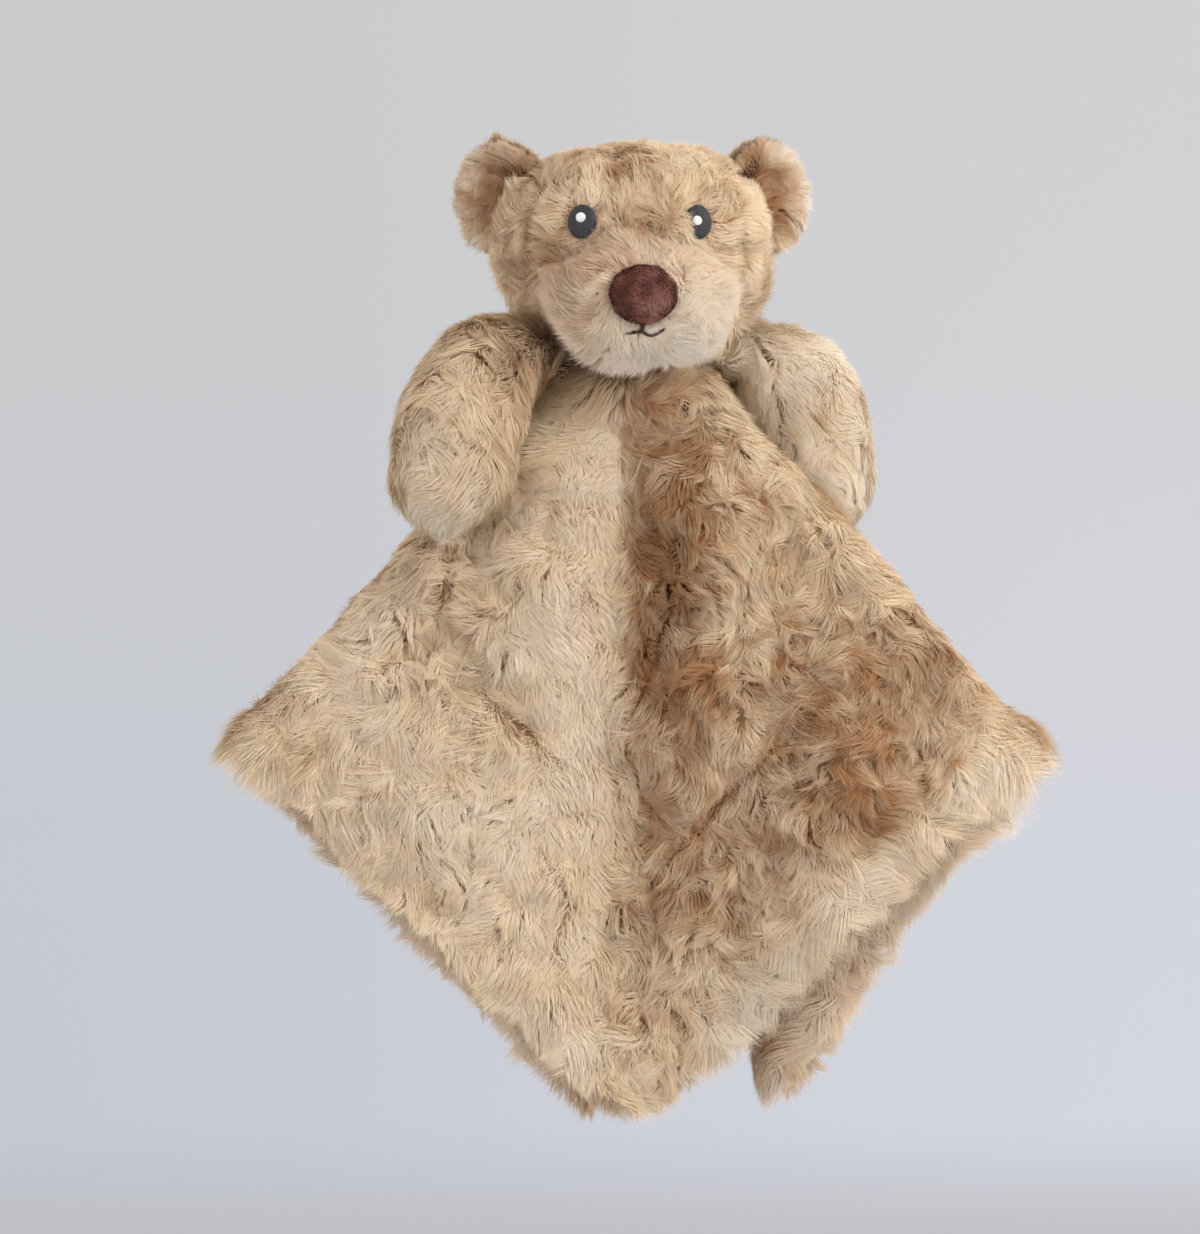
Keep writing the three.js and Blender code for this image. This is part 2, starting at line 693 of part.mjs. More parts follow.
// An arm in its pieces, lowered until its root lies on the blanket
function makeArm(side, blanket) {
  const openEnd = -overrun / armLength;
  const cover = armForm(side, 0, 0, 0).subtract(armForm(side, 1, 0, openEnd));
  const path = armPath(side);
  const { centre, across, over, width, height, wall } = armSection(side, path, 0);
  const tangent = path.getTangent(0);
  const basis = new THREE.Matrix4().makeBasis(across, over, tangent);
  const oval = (inset, from, to) => {
    const shape = new THREE.CylinderGeometry(1, 1, 1, ovalSides).rotateX(Math.PI / 2);
    shape.scale(width - inset, height - inset, to - from).translate(0, 0, (from + to) / 2);
    return solid(shape.applyMatrix4(basis).translate(centre.x, centre.y, centre.z));
  };
  const seamEnd = -seatGap;
  const seamStart = seamEnd - shoulderSeamLength;
  const seam = oval(0, seamStart, seamEnd).subtract(oval(wall, seamStart - overrun, seamEnd + overrun));
  const sewn = cover.add(seam);
  let drop = 0;
  for (let pass = 0; pass < loweringPasses; pass++) {
    drop += sewn.translate([0, 0, -drop]).minGap(blanket, neckRadius) - seatGap;
  }
  const lowered = (manifold) => manifold.translate([0, 0, -drop]);
  return {
    front: lowered(cover.intersect(armHalf(side, -1))),
    back: lowered(cover.intersect(armHalf(side, 1))),
    wadding: lowered(armForm(side, 1, seatGap, 0)),
    seam: lowered(seam),
  };
}

// The gathered neck of the head and the ring of stitches that holds it to the blanket
function makeNeckGather() {
  const profileShares = [0, 0.25, 0.5, 0.75, 1];
  const profile = profileShares.map((share) => {
    const waist = neckGatherWaist * Math.sin(Math.PI * share);
    return new THREE.Vector2(neckRadius - waist, lerp(gatherLow, gatherTop, share));
  });
  profile.unshift(new THREE.Vector2(0, gatherLow));
  profile.push(new THREE.Vector2(0, gatherTop));
  return new THREE.LatheGeometry(profile, ovalSides).rotateX(Math.PI / 2);
}

const group = new THREE.Group();
group.name = "comfort_blanket";

function add(parent, name, geometry, material) {
  const mesh = new THREE.Mesh(geometry, material);
  mesh.name = name;
  parent.add(mesh);
}

const head = makeHead();
const headGroup = new THREE.Group();
headGroup.rotation.z = deg(headTurnDegrees);
group.add(headGroup);
add(headGroup, "head_centre_panel", geometryOf(head.centrePanel), plush);
add(headGroup, "head_side_panel_left", geometryOf(head.leftPanel), plush);
add(headGroup, "head_side_panel_right", geometryOf(head.rightPanel), plush);
add(headGroup, "head_wadding", geometryOf(head.filling), wadding);
add(headGroup, "head_base_panel", geometryOf(head.base), plush);
add(headGroup, "muzzle_panel", geometryOf(head.muzzle), palePlush);
add(headGroup, "muzzle_wadding", geometryOf(head.muzzleFilling), wadding);
add(headGroup, "nose", geometryOf(head.nose), velour);
add(headGroup, "mouth_stitch", geometryOf(head.mouth), darkThread);
for (const side of [-1, 1]) {
  const word = side < 0 ? "left" : "right";
  const { eye, glint } = head.eyes[side < 0 ? 0 : 1];
  add(headGroup, `eye_${word}`, geometryOf(eye), charcoal);
  add(headGroup, `eye_glint_${word}`, geometryOf(glint), white);
  const ear = makeEar(side, head.room);
  add(headGroup, `ear_outer_panel_${word}`, geometryOf(ear.outer), plush);
  add(headGroup, `ear_inner_panel_${word}`, geometryOf(ear.inner), plush);
}

add(group, "neck_gather", makeNeckGather(), plush);
const stitchRing = upright(neckRadius, neckRadius - neckStitchWall, stitchLow, stitchTop);
add(group, "neck_stitching", geometryOf(stitchRing), thread);

const upperPanel = makeBlanketPanel(1);
add(group, "blanket_upper_panel", upperPanel, plush);
add(group, "blanket_under_panel", makeBlanketPanel(-1), palePlush);
add(group, "blanket_edge_seam", makeEdgeSeam(), thread);
for (const side of [-1, 1]) {
  const word = side < 0 ? "left" : "right";
  const arm = makeArm(side, solid(upperPanel));
  add(group, `shoulder_seam_${word}`, geometryOf(arm.seam), thread);
  add(group, `arm_front_panel_${word}`, geometryOf(arm.front), plush);
  add(group, `arm_back_panel_${word}`, geometryOf(arm.back), plush);
  add(group, `arm_wadding_${word}`, geometryOf(arm.wadding), wadding);
}

export default group;
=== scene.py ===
"""Looks for a plush comfort blanket: a stuffed bear head and two arms on a square blanket, hung in folds.

Shapes are worked out in millimetres, in the row frame, and go into the meshes in metres. The pile is made
of strands: thin bent leaves that grow from the cloth, curve over along the nap and gather in locks.
"""

import itertools
import math

import bpy
import numpy as np
from mathutils import Matrix, Vector


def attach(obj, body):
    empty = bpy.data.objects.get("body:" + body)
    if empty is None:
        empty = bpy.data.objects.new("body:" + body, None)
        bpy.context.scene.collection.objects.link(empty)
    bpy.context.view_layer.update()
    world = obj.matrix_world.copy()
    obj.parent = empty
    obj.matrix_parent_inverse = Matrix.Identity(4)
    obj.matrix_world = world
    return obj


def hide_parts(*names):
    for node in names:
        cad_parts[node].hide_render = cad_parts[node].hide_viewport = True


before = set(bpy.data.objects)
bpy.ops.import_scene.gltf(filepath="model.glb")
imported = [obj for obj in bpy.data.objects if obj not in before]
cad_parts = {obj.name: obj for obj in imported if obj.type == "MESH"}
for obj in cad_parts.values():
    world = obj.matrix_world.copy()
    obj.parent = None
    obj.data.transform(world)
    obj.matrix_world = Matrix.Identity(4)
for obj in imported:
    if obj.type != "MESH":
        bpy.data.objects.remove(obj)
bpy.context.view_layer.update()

STRAND_SHARE = 1.0
MM = 0.001
SIDE_WORDS = {-1: "left", 1: "right"}
# Whether a pole closes the first and the last end of a grid
CLOSED = (True, True)
OPEN_LAST = (True, False)

# Sizes that the cloth shares with the solids
HEAD_RADII = np.array([44.5, 39.0, 35.0])
HEAD_CENTRE = np.array([0.0, 0.0, -35.0])
CROWN_POWER = 2.5
CHEEK_POWER = 2.15
CHEEK_TAPER = 0.16
HEAD_TURN = math.radians(3.5)
PANEL_SEAM = 31.5
MUZZLE_RADII = np.array([25.0, 15.0, 18.5])
MUZZLE_CENTRE = np.array([0.0, -39.0, -52.5])
MUZZLE_POWER = 2.2
NOSE_RADII = np.array([10.4, 4.5, 8.9])
NOSE_CENTRE = np.array([0.0, -54.0, -51.0])
EYE_PLACE = np.array([19.25, -26.8])
EYE_RADII = np.array([4.75, 5.8])
GLINT_RADII = np.array([1.7, 1.7])
EAR_PLACE = np.array([42.99, 2.0, -17.99])
EAR_TURN = math.radians(34)
EAR_LEAN = math.radians(14)
EAR_RADII = np.array([13.0, 14.2])
EAR_CUP = 5.0
NECK_RADIUS = 17.0
BLANKET_TOP = -75.7
BLANKET_HALF = 175.0
PITCH = 13.7
BEND = PITCH / 2
TUCK_RIGHT = math.radians(11)
TUCK_LEFT = math.radians(1)
ARM_LENGTH = 74.0
ARM_DEPTH = 45.7
ARM_ROOT = 27.0
ARM_TOP = -70.93
ARM_DROP = {-1: 1.5, 1: 2.7}
ARM_PAW = 19.0
ARM_ROOT_OVAL = (8.5, 2.5)
PAW_START = 0.74
# How far inside the solids' surface the padded cloth lies, and the wadding
HEAD_INSETS = (3.4, 6.5)
MUZZLE_INSETS = (2.6, 4.6)
ARM_INSETS = (3.2, 5.6)
# Half of an ear cloth's thickness in the middle and at the rim
EAR_WALL = (1.6, 0.5)
# How far below the cloth a strand starts, and a strand of the nose
SINK = 0.6
NOSE_SINK = 0.1


def smooth(value, low, high):
    """0 below low, 1 above high and 3t^2 - 2t^3 between them."""
    t = np.clip((value - low) / (high - low), 0, 1)
    return t * t * (3 - 2 * t)


def mix(a, b, share):
    """a where share is 0, b where it is 1, in a straight line between."""
    return a + (b - a) * share


def dot(a, b):
    """The dot product of each pair of vectors, kept as a last axis of one."""
    return (a * b).sum(-1, keepdims=True)


def length_of(vectors):
    """The length of each vector."""
    return np.sqrt(dot(vectors, vectors))


def unit(vectors):
    """Each vector divided by its length."""
    return vectors / np.maximum(length_of(vectors), 1e-9)


def turned(points, angle):
    """Points turned about the upright axis."""
    c, s = math.cos(angle), math.sin(angle)
    return points @ np.array([[c, s, 0], [-s, c, 0], [0, 0, 1]])


def flat_on(vectors, normals):
    """The part of each vector that lies in the surface, one long."""
    return unit(vectors - dot(vectors, normals) * normals)


def oriented(normals, outward):
    """The normals, turned round where they face against outward."""
    return normals * np.sign(dot(normals, outward))


def swung(a, b, angle):
    """The way that stands at an angle from a, towards b."""
    return a * np.cos(angle)[..., None] + b * np.sin(angle)[..., None]


def bell(*steps):
    """1 where every step is 0, and less, as a bell curve, the more radii a step is."""
    return np.exp(-sum(step**2 for step in steps))


# Soft noise: how many waves are added up, and what brings the sum to about 1
WAVE_COUNT = 9
WAVE_SCALE = math.sqrt(WAVE_COUNT / 1.6)


def wave_angles(points, size, seed):
    """The angles at each point of waves of seeded directions with lengths near size, and the directions."""
    rng = np.random.default_rng(seed)
    ways = unit(rng.normal(size=(WAVE_COUNT, 3)))
    ways = ways * (2 * math.pi / (size * rng.uniform(0.7, 1.7, (WAVE_COUNT, 1))))
    return points @ ways.T + rng.uniform(0, 2 * math.pi, WAVE_COUNT), ways


def waves(points, size, seed):
    """Soft noise of about -1 to 1: the sines of the waves, added up."""
    return np.sin(wave_angles(points, size, seed)[0]).sum(-1) / WAVE_SCALE


def waves_and_slope(points, size, seed):
    """The same soft noise, and its slope: the cosines of the same angles, each times its direction."""
    angles, ways = wave_angles(points, size, seed)
    return np.sin(angles).sum(-1) / WAVE_SCALE, np.cos(angles) @ ways / WAVE_SCALE


def off_line(x, z, corners):
    """How far each place lies from a bent line, and the step to it from the nearest point of the line."""
    best = np.full(x.shape, 1e9)
    step_x, step_z = np.zeros(x.shape), np.zeros(x.shape)
    for (x0, z0), (x1, z1) in zip(corners[:-1], corners[1:]):
        along = ((x - x0) * (x1 - x0) + (z - z0) * (z1 - z0)) / ((x1 - x0) ** 2 + (z1 - z0) ** 2)
        along = np.clip(along, 0, 1)
        off_x, off_z = x - mix(x0, x1, along), z - mix(z0, z1, along)
        gap = np.hypot(off_x, off_z)
        closer = gap < best
        pairs = ((gap, best), (off_x, step_x), (off_z, step_z))
        best, step_x, step_z = (np.where(closer, a, b) for a, b in pairs)
    return best, step_x, step_z


def line_bell(x, z, corners, reach):
    """1 on a bent line, and less beside it, the farther off in reaches."""
    return bell(off_line(x, z, corners)[0] / reach)


def normals_of(place):
    """Unit normals of a grid whose last column lies on its first: the steps along its rows and columns,
    crossed."""
    joined = np.concatenate([place[:, -2:-1], place, place[:, 1:2]], axis=1)
    return unit(np.cross(np.gradient(place, axis=0), joined[:, 2:] - joined[:, :-2]))


def at(grid, row, column):
    """Values of a grid at fractional rows and columns, mixed from the four corners of the cell."""
    r = np.clip(row.astype(int), 0, grid.shape[0] - 2)
    c = np.clip(column.astype(int), 0, grid.shape[1] - 2)
    a, b = row - r, column - c
    if grid.ndim == 3:
        a, b = a[:, None], b[:, None]
    return mix(mix(grid[r, c], grid[r, c + 1], b), mix(grid[r + 1, c], grid[r + 1, c + 1], b), a)


def scatter(place, weight, count, rng):
    """Roots over a grid: each cell draws in proportion to its area times its weight, and evenly inside it."""
    first = place[1:, 1:] - place[:-1, :-1]
    second = place[1:, :-1] - place[:-1, 1:]
    area = length_of(np.cross(first, second))[..., 0] / 2
    corner = (weight[1:, 1:] + weight[:-1, :-1] + weight[1:, :-1] + weight[:-1, 1:]) / 4
    total = np.cumsum((area * corner).ravel())
    cell = np.searchsorted(total, rng.random(count) * total[-1])
    row, column = np.divmod(cell, place.shape[1] - 1)
    return row + rng.random(count), column + rng.random(count)


# Numbers that turn a cube's place into a key, and a key into the shake of the cube's seed
HASH_STEPS = np.array([73856093, 19349663, 83492791])
SHAKE_STEPS = (12.9898, 78.233, 37.719)


def lock_of(points, size, seed):
    """The number of the lock that each point is in: the nearest of one shaken seed in each cube of a grid."""
    cell = np.floor(points / size).astype(np.int64)
    nearest = np.full(len(points), 1e9)
    owner = np.zeros(len(points), np.int64)
    for step in itertools.product((-1, 0, 1), repeat=3):
        cube = cell + np.array(step)
        key = cube @ HASH_STEPS + 7919 * seed
        shake = np.stack([np.modf(np.sin((key % 65521) * k) * 43758.5453)[0] for k in SHAKE_STEPS], -1)
        gap = ((points - (cube + 0.5 + 0.5 * shake) * size) ** 2).sum(-1)
        closer = gap < nearest
        nearest = np.where(closer, gap, nearest)
        owner = np.where(closer, key, owner)
    return np.unique(owner, return_inverse=True)[1]


def mean_by(values, owner):
    """For each point, the mean of the values of all points in its lock."""
    total = np.stack([np.bincount(owner, values[:, k]) for k in range(values.shape[1])], -1)
    return (total / np.bincount(owner)[:, None])[owner]


# Meshes and pieces
def mesh_of(name, points, triangles):
    """A mesh from points in millimetres and triangles, put in with foreach_set."""
    mesh = bpy.data.meshes.new(name)
    mesh.vertices.add(len(points))
    mesh.vertices.foreach_set("co", (points * MM).astype(np.float32).ravel())
    mesh.loops.add(triangles.size)
    mesh.loops.foreach_set("vertex_index", triangles.astype(np.int32).ravel())
    mesh.polygons.add(len(triangles))
    mesh.polygons.foreach_set("loop_start", np.arange(0, triangles.size, 3, dtype=np.int32))
    mesh.polygons.foreach_set("use_smooth", np.ones(len(triangles), bool))
    mesh.update(calc_edges=True)
    mesh.validate()
    return mesh


def grid_mesh(place, low_pole, high_pole):
    """Points and triangles of a grid whose last column lies on its first; a pole closes an end with a fan."""
    rows, kept = place.shape[0], place.shape[1] - 1
    points = place[:, :kept].reshape(-1, 3)
    base, ring = np.meshgrid(np.arange(rows - 1) * kept, np.arange(kept), indexing="ij")
    after = (ring + 1) % kept
    a, b, c, d = base + ring, base + after, base + kept + after, base + kept + ring
    triangles = [np.stack(corners, -1).reshape(-1, 3) for corners in ((a, b, c), (a, c, d))]
    ring, after = ring[0], after[0]
    for closed, row, first, second in ((low_pole, 0, after, ring), (high_pole, rows - 1, ring, after)):
        if closed:
            points = np.vstack([points, place[row, :kept].mean(0)])
            hub = np.full(kept, len(points) - 1)
            triangles.append(np.stack([hub, row * kept + first, row * kept + second], -1))
    return points, np.vstack(triangles)


def facing_out(points, triangles, way=None):
    """The triangles, turned round if a closed form's volume comes out negative or an open one faces against
    way."""
    a, b, c = (points[triangles[:, k]] for k in range(3))
    if way is None:
        out = (a * np.cross(b, c)).sum()
    else:
        out = (np.cross(b - a, c - a) * way[triangles[:, 0]]).sum()
    return triangles if out > 0 else triangles[:, ::-1]


def piece(name, mesh, material, body, stands_for=()):
    """An object for a mesh, on its CAD body, with its material and the nodes that it stands for."""
    made = bpy.data.objects.new(name, mesh)
    bpy.context.scene.collection.objects.link(made)
    mesh.materials.append(material)
    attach(made, body)
    if stands_for:
        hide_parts(*stands_for)
    return made


def form(name, place, poles, material, body, stands_for=(), way=None):
    """A piece from a grid, its faces turned outwards, or along way where the form is open."""
    points, triangles = grid_mesh(place, *poles)
    if way is not None:
        way = way[:, :-1].reshape(-1, 3)
        way = np.vstack([way, np.tile(way[:1], (len(points) - len(way), 1))])
    triangles = facing_out(points, triangles, way)
    return piece(name, mesh_of(name, points, triangles), material, body, stands_for)


# A strand is a thin leaf of two triangles: a root, two corners at its bend and a tip
LEAF = np.array([[0, 2, 1], [3, 1, 2]])
LEAF_MAP = np.array([[[0.5, 0], [1, 0.5], [0, 0.5]], [[0.5, 1], [0, 0.5], [1, 0.5]]])
# Where a leaf's bend lies along it, how far it rolls (radians), how far its normals lean to the sides, and
# how much of its own normal it is shaded with
LEAF_BEND = 0.46
LEAF_ROLL = 1.05
LEAF_LEAN = 0.12
OWN_NORMAL = 0.44


def strands_mesh(name, roots, bends, tips, widths, normals, tone, rng):
    """Leaves from roots over bends to tips, each rolled a little about its length so that edges of cloth are
    covered too. The two corners stand across the leaf at its bend. It is shaded with a normal between its own
    and the cloth's, leaned a little to each side, so that the pile shades softly."""
    count = len(roots)
    way = unit(tips - roots)
    flat = unit(np.cross(way, normals))
    side = swung(flat, np.cross(flat, way), rng.uniform(-LEAF_ROLL, LEAF_ROLL, count))
    half = widths[:, None] / 2
    points = np.stack([roots, bends - half * side, bends + half * side, tips], 1)
    triangles = (np.arange(count)[:, None, None] * points.shape[1] + LEAF).reshape(-1, 3)
    mesh = mesh_of(name, points.reshape(-1, 3), triangles)
    lean = LEAF_LEAN * flat
    own = mix(normals, flat_on(normals, way), OWN_NORMAL)
    shading = unit(np.stack([own, own - lean, own + lean, own + 0.2 * way], 1)[:, LEAF]).reshape(-1, 3)
    mesh.normals_split_custom_set(shading.astype(np.float32))
    chance = np.repeat(rng.random(count)[:, None], points.shape[1], 1)
    along = np.tile([0.0, LEAF_BEND, LEAF_BEND, 1.0], (count, 1))
    held = np.stack([along, tone, chance, np.ones_like(along)], -1)
    strand = mesh.attributes.new("strand", "FLOAT_COLOR", "POINT")
    strand.data.foreach_set("color", held.astype(np.float32).ravel())
    cells = math.ceil(math.sqrt(count))
    corner = np.stack(np.divmod(np.arange(count), cells), -1) / cells
    spots = corner[:, None, None] + (0.08 + 0.84 * LEAF_MAP[None]) / cells
    mesh.uv_layers.new(name="OFBake").data.foreach_set("uv", spots.astype(np.float32).ravel())
    return mesh


# The noise of the small partings: its size, and a stretch that lets them run more level than upright
PARTING_SIZE = 16.0
STRETCH = np.array([1.2, 1.0, 0.8])


def parted_here(points, field):
    """1 where small partings open, 0 where there are none."""
    return smooth(waves(points, 2.2 * PARTING_SIZE, field + 9), -0.6, 0.5)


def opened(roots, normals, nap, field):
    """Small partings, along lines where soft noise crosses 0, in some places only. Beside one the nap turns
    away from it, and stands up where it would run into it. Gives the nap and how firmly it lies."""
    level, slope = waves_and_slope(roots * STRETCH, PARTING_SIZE, field + 8)
    away = flat_on(slope * STRETCH, normals) * np.sign(level)[:, None]
    near = bell(level / 0.34) * parted_here(roots, field)
    bent = nap + 0.5 * near[:, None] * away
    return unit(bent), np.clip(length_of(bent)[:, 0], 0.55, 1)


def parting_shade_line(points, field):
    """1 in the middle of a small parting and 0 off it, minus a little on the mounds between. As tone this
    is painted shade in the partings and painted light on the mounds.
    """
    level = np.abs(waves(points * STRETCH, PARTING_SIZE, field + 8))
    return bell(level / 0.22) * parted_here(points, field) - 0.2 * smooth(level, 0.4, 1.2)


# What a comb may leave out: the strands' width, how strongly fine locks gather, the sizes of the coarse and
# the fine locks, the curl, and how wild the pile is
COMB_DEFAULTS = {"width": 0.2, "gather": 0.14, "lock": 7.0, "fine": 3.0, "curl": 0.2, "wild": 1.0}
# The undercoat: its share of the strands, and its lie and length as parts of the others'
UNDER_SHARE = 0.3
UNDER_LIE = 0.4
UNDER_LENGTH = 0.62


def pile(name, place, normal, weight, count, comb, seed, material, body, slot, stands_for=(), sink=SINK):
    """Pile over a grid. comb gives, for each root, the nap, how far it lies over (0 upright, 90 flat), the
    length, the tone, the swirl in degrees, and what differs from the defaults. Each lock has a turn, a lie,
    a length and a curl of its own, and each fine lock a shade. Some strands are a shorter, upright
    undercoat."""
    rng = np.random.default_rng(seed)
    field = seed // 10 * 10
    count = max(200, int(count * STRAND_SHARE))
    row, column = scatter(place, weight, count, rng)
    roots = at(place, row, column)
    normals = unit(at(normal, row, column))
    c = COMB_DEFAULTS | comb(roots, normals, row, column)
    nap = flat_on(c["nap"], normals)
    shaken = roots + 1.2 * np.stack([waves(roots, 7, field + k) for k in (5, 6, 7)], -1)
    coarse = lock_of(shaken, c["lock"], field)
    lock_turn, lock_lie, lock_length, lock_curl = rng.normal(size=(4, coarse.max() + 1))[:, coarse]
    wild = np.broadcast_to(c["wild"], count)
    swirl = 0.75 * waves(roots, 34, field + 1) + 0.5 * waves(roots, 15, field + 2)
    swing = np.radians(c["swirl"] * (swirl + 0.25 * waves(roots, 7, field + 11)))
    swing = swing + np.radians(wild * 7 * lock_turn + 2.5 * rng.normal(size=count))
    nap = swung(nap, np.cross(normals, nap), swing)
    free, firm = opened(roots, normals, nap, field)
    nap = flat_on(mix(nap, free, wild[:, None]), normals)
    firm = mix(1, firm, wild)
    lie = c["lie"] + wild * (6 * waves(roots, 12, field + 3) + 3 * lock_lie)
    lie = lie * firm + rng.normal(size=count) * 3
    under = rng.random(count) < UNDER_SHARE
    lie = lie * np.where(under, UNDER_LIE, 1)
    long = c["length"] * (1 + 0.09 * wild * lock_length) * rng.uniform(0.86, 1.1, count)
    long = (long * np.where(under, UNDER_LENGTH, 1))[:, None]
    first = swung(normals, nap, np.radians(np.clip(lie - 24, 2, 82)))
    last = swung(normals, nap, np.radians(np.clip(lie + 16, 5, 98)))
    curl = c["curl"] * np.clip(lock_curl, -1.8, 1.8) + 0.02 * rng.normal(size=count)
    curl = curl[:, None] * long * np.cross(normals, nap)
    bends = roots + LEAF_BEND * long * first + curl * 0.8
    tips = roots + LEAF_BEND * long * first + (1 - LEAF_BEND) * long * last - curl
    fine = lock_of(roots + 0.35 * (tips - roots), c["fine"], field + 4)
    pull = np.broadcast_to(c["gather"], count)[:, None]
    tips = mix(tips, mean_by(tips, fine), pull) + rng.normal(size=(count, 3)) * 0.15
    bends = mix(bends, mean_by(bends, fine), 0.45 * pull)
    over = comb(tips, normals, row, column)["tone"]
    # Painted shade along the small partings, where the pile opens, and painted light on the mounds between
    line = np.stack([parting_shade_line(points, field) for points in (roots, bends, tips)], -1)
    tone = np.stack([c["tone"], (c["tone"] + over) / 2, over], -1) + 0.46 * line * (0.4 + 0.6 * wild)[:, None]
    shade = 0.10 * waves(roots, 4.5, field + 10) + 0.13 * rng.normal(size=fine.max() + 1)[fine]
    # Pile that stands open beside a parting is warmer: painted shade
    shade = wild * (0.2 * (1 - firm) + (shade + 0.09 * lock_lie))
    shade = shade + 0.03 * rng.normal(size=count) + 0.12 * under
    tone = np.clip((tone + shade[:, None])[:, [0, 1, 1, 2]], -1, 1)
    widths = c["width"] * rng.uniform(0.75, 1.25, count) * 1
    mesh = strands_mesh(name, roots - sink * normals, bends, tips, widths, normals, tone, rng)
    return piece(name, mesh, material, body, stands_for)


# Materials
def socketed(name, inputs, outputs):
    """A shader node group with named inputs, each with its start value, and named outputs."""
    group = bpy.data.node_groups.new(name, "ShaderNodeTree")
    for title, kind, value in inputs:
        made = group.interface.new_socket(title, in_out="INPUT", socket_type=kind)
        made.default_value = value
    for title, kind in outputs:
        group.interface.new_socket(title, in_out="OUTPUT", socket_type=kind)
    return group, group.nodes.new("NodeGroupInput"), group.nodes.new("NodeGroupOutput")


def fed(tree, socket, value):
    """A socket's input: a link where the value is a socket, else its start value."""
    if isinstance(value, bpy.types.NodeSocket):
        tree.links.new(value, socket)
    else:
        socket.default_value = value


def node_of(tree, kind, *values, **settings):
    """A node of a kind, with its settings, its first inputs fed with values or sockets."""
    node = tree.nodes.new(f"ShaderNode{kind}")
    for key, value in settings.items():
        setattr(node, key, value)
    for socket, value in zip(node.inputs, values):
        fed(tree, socket, value)
    return node


def colour_mix(tree, factor, a, b, way="MIX"):
    """A Mix node for colours; each of factor, a and b is a value or a socket."""
    node = node_of(tree, "Mix", factor, data_type="RGBA", blend_type=way)
    fed(tree, node.inputs[6], a)
    fed(tree, node.inputs[7], b)
    return node.outputs[2]


def maths(tree, operation, *values):
    """A Math node; each value is a number or a socket."""
    return node_of(tree, "Math", *values, operation=operation).outputs[0]


def ranged(tree, value, low, high, to_low, to_high):
    """A Map Range node, clamped and smooth."""
    node = node_of(tree, "MapRange", value, low, high, to_low, to_high, interpolation_type="SMOOTHSTEP")
    return node.outputs[0]


def noise(tree, place, scale, detail):
    """A Noise node's value at a place socket."""
    node = node_of(tree, "TexNoise")
    for title, value in (("Vector", place), ("Scale", scale), ("Detail", detail)):
        fed(tree, node.inputs[title], value)
    return node.outputs["Fac"]


def object_place(tree):
    """The Object coordinates."""
    return node_of(tree, "TexCoord").outputs["Object"]


SHADES = ("Root", "Body", "Tip", "Warm", "Pale")


def make_pile_colour():
    """Colour of a strand: root colour, then body, then tip along it, warmer by its tone above 0 and paler
    below 0, and each strand a little apart. Tone above 0 gives the pile's own warmer tufts and, in places,
    painted shade; tone below 0 gives paler tufts and, in places, painted light."""
    group, given, out = socketed(
        "pile_colour",
        [(n, "NodeSocketColor", (0.5, 0.4, 0.3, 1)) for n in SHADES],
        [("Color", "NodeSocketColor"), ("Roughness", "NodeSocketFloat")],
    )
    root, body, tip, warm, pale = (given.outputs[n] for n in SHADES)
    held = node_of(group, "Attribute", attribute_name="strand")
    along, tone, chance = node_of(group, "SeparateColor", held.outputs["Color"]).outputs
    low = colour_mix(group, ranged(group, along, 0.0, 0.36, 0, 1), root, body)
    full = colour_mix(group, ranged(group, along, 0.36, 0.9, 0, 1), low, tip)
    # Tone above 0 warms most towards the root: partly painted shade deep in the pile
    warmth = maths(group, "MULTIPLY", tone, ranged(group, along, 0.25, 1.0, 1.1, 0.72))
    warmed = colour_mix(group, warmth, full, warm)
    warmed = colour_mix(group, maths(group, "MULTIPLY", tone, -1), warmed, pale)
    patches = ranged(group, noise(group, object_place(group), 60, 2), 0.3, 0.7, -0.04, 0.04)
    level = maths(group, "ADD", ranged(group, chance, 0, 1, 0.96, 1.02), patches)
    grey = node_of(group, "CombineColor", level, level, level)
    group.links.new(colour_mix(group, 1.0, warmed, grey.outputs[0], "MULTIPLY"), out.inputs["Color"])
    group.links.new(ranged(group, chance, 0, 1, 0.62, 0.86), out.inputs["Roughness"])
    return group


def make_mottle():
    """Two colours mixed by fine and coarse noise, with the fine noise as height."""
    group, given, out = socketed(
        "mottle",
        [
            ("Dark", "NodeSocketColor", (0.2, 0.1, 0.05, 1)),
            ("Light", "NodeSocketColor", (0.4, 0.3, 0.2, 1)),
            ("Scale", "NodeSocketFloat", 400.0),
        ],
        [("Color", "NodeSocketColor"), ("Height", "NodeSocketFloat")],
    )
    place = object_place(group)
    fine, coarse = noise(group, place, given.outputs["Scale"], 4), noise(group, place, 45, 3)
    both = maths(group, "ADD", maths(group, "MULTIPLY", fine, 0.6), maths(group, "MULTIPLY", coarse, 0.4))
    share = ranged(group, both, 0.3, 0.7, 0, 1)
    shade = colour_mix(group, share, given.outputs["Dark"], given.outputs["Light"])
    group.links.new(shade, out.inputs["Color"])
    group.links.new(fine, out.inputs["Height"])
    return group


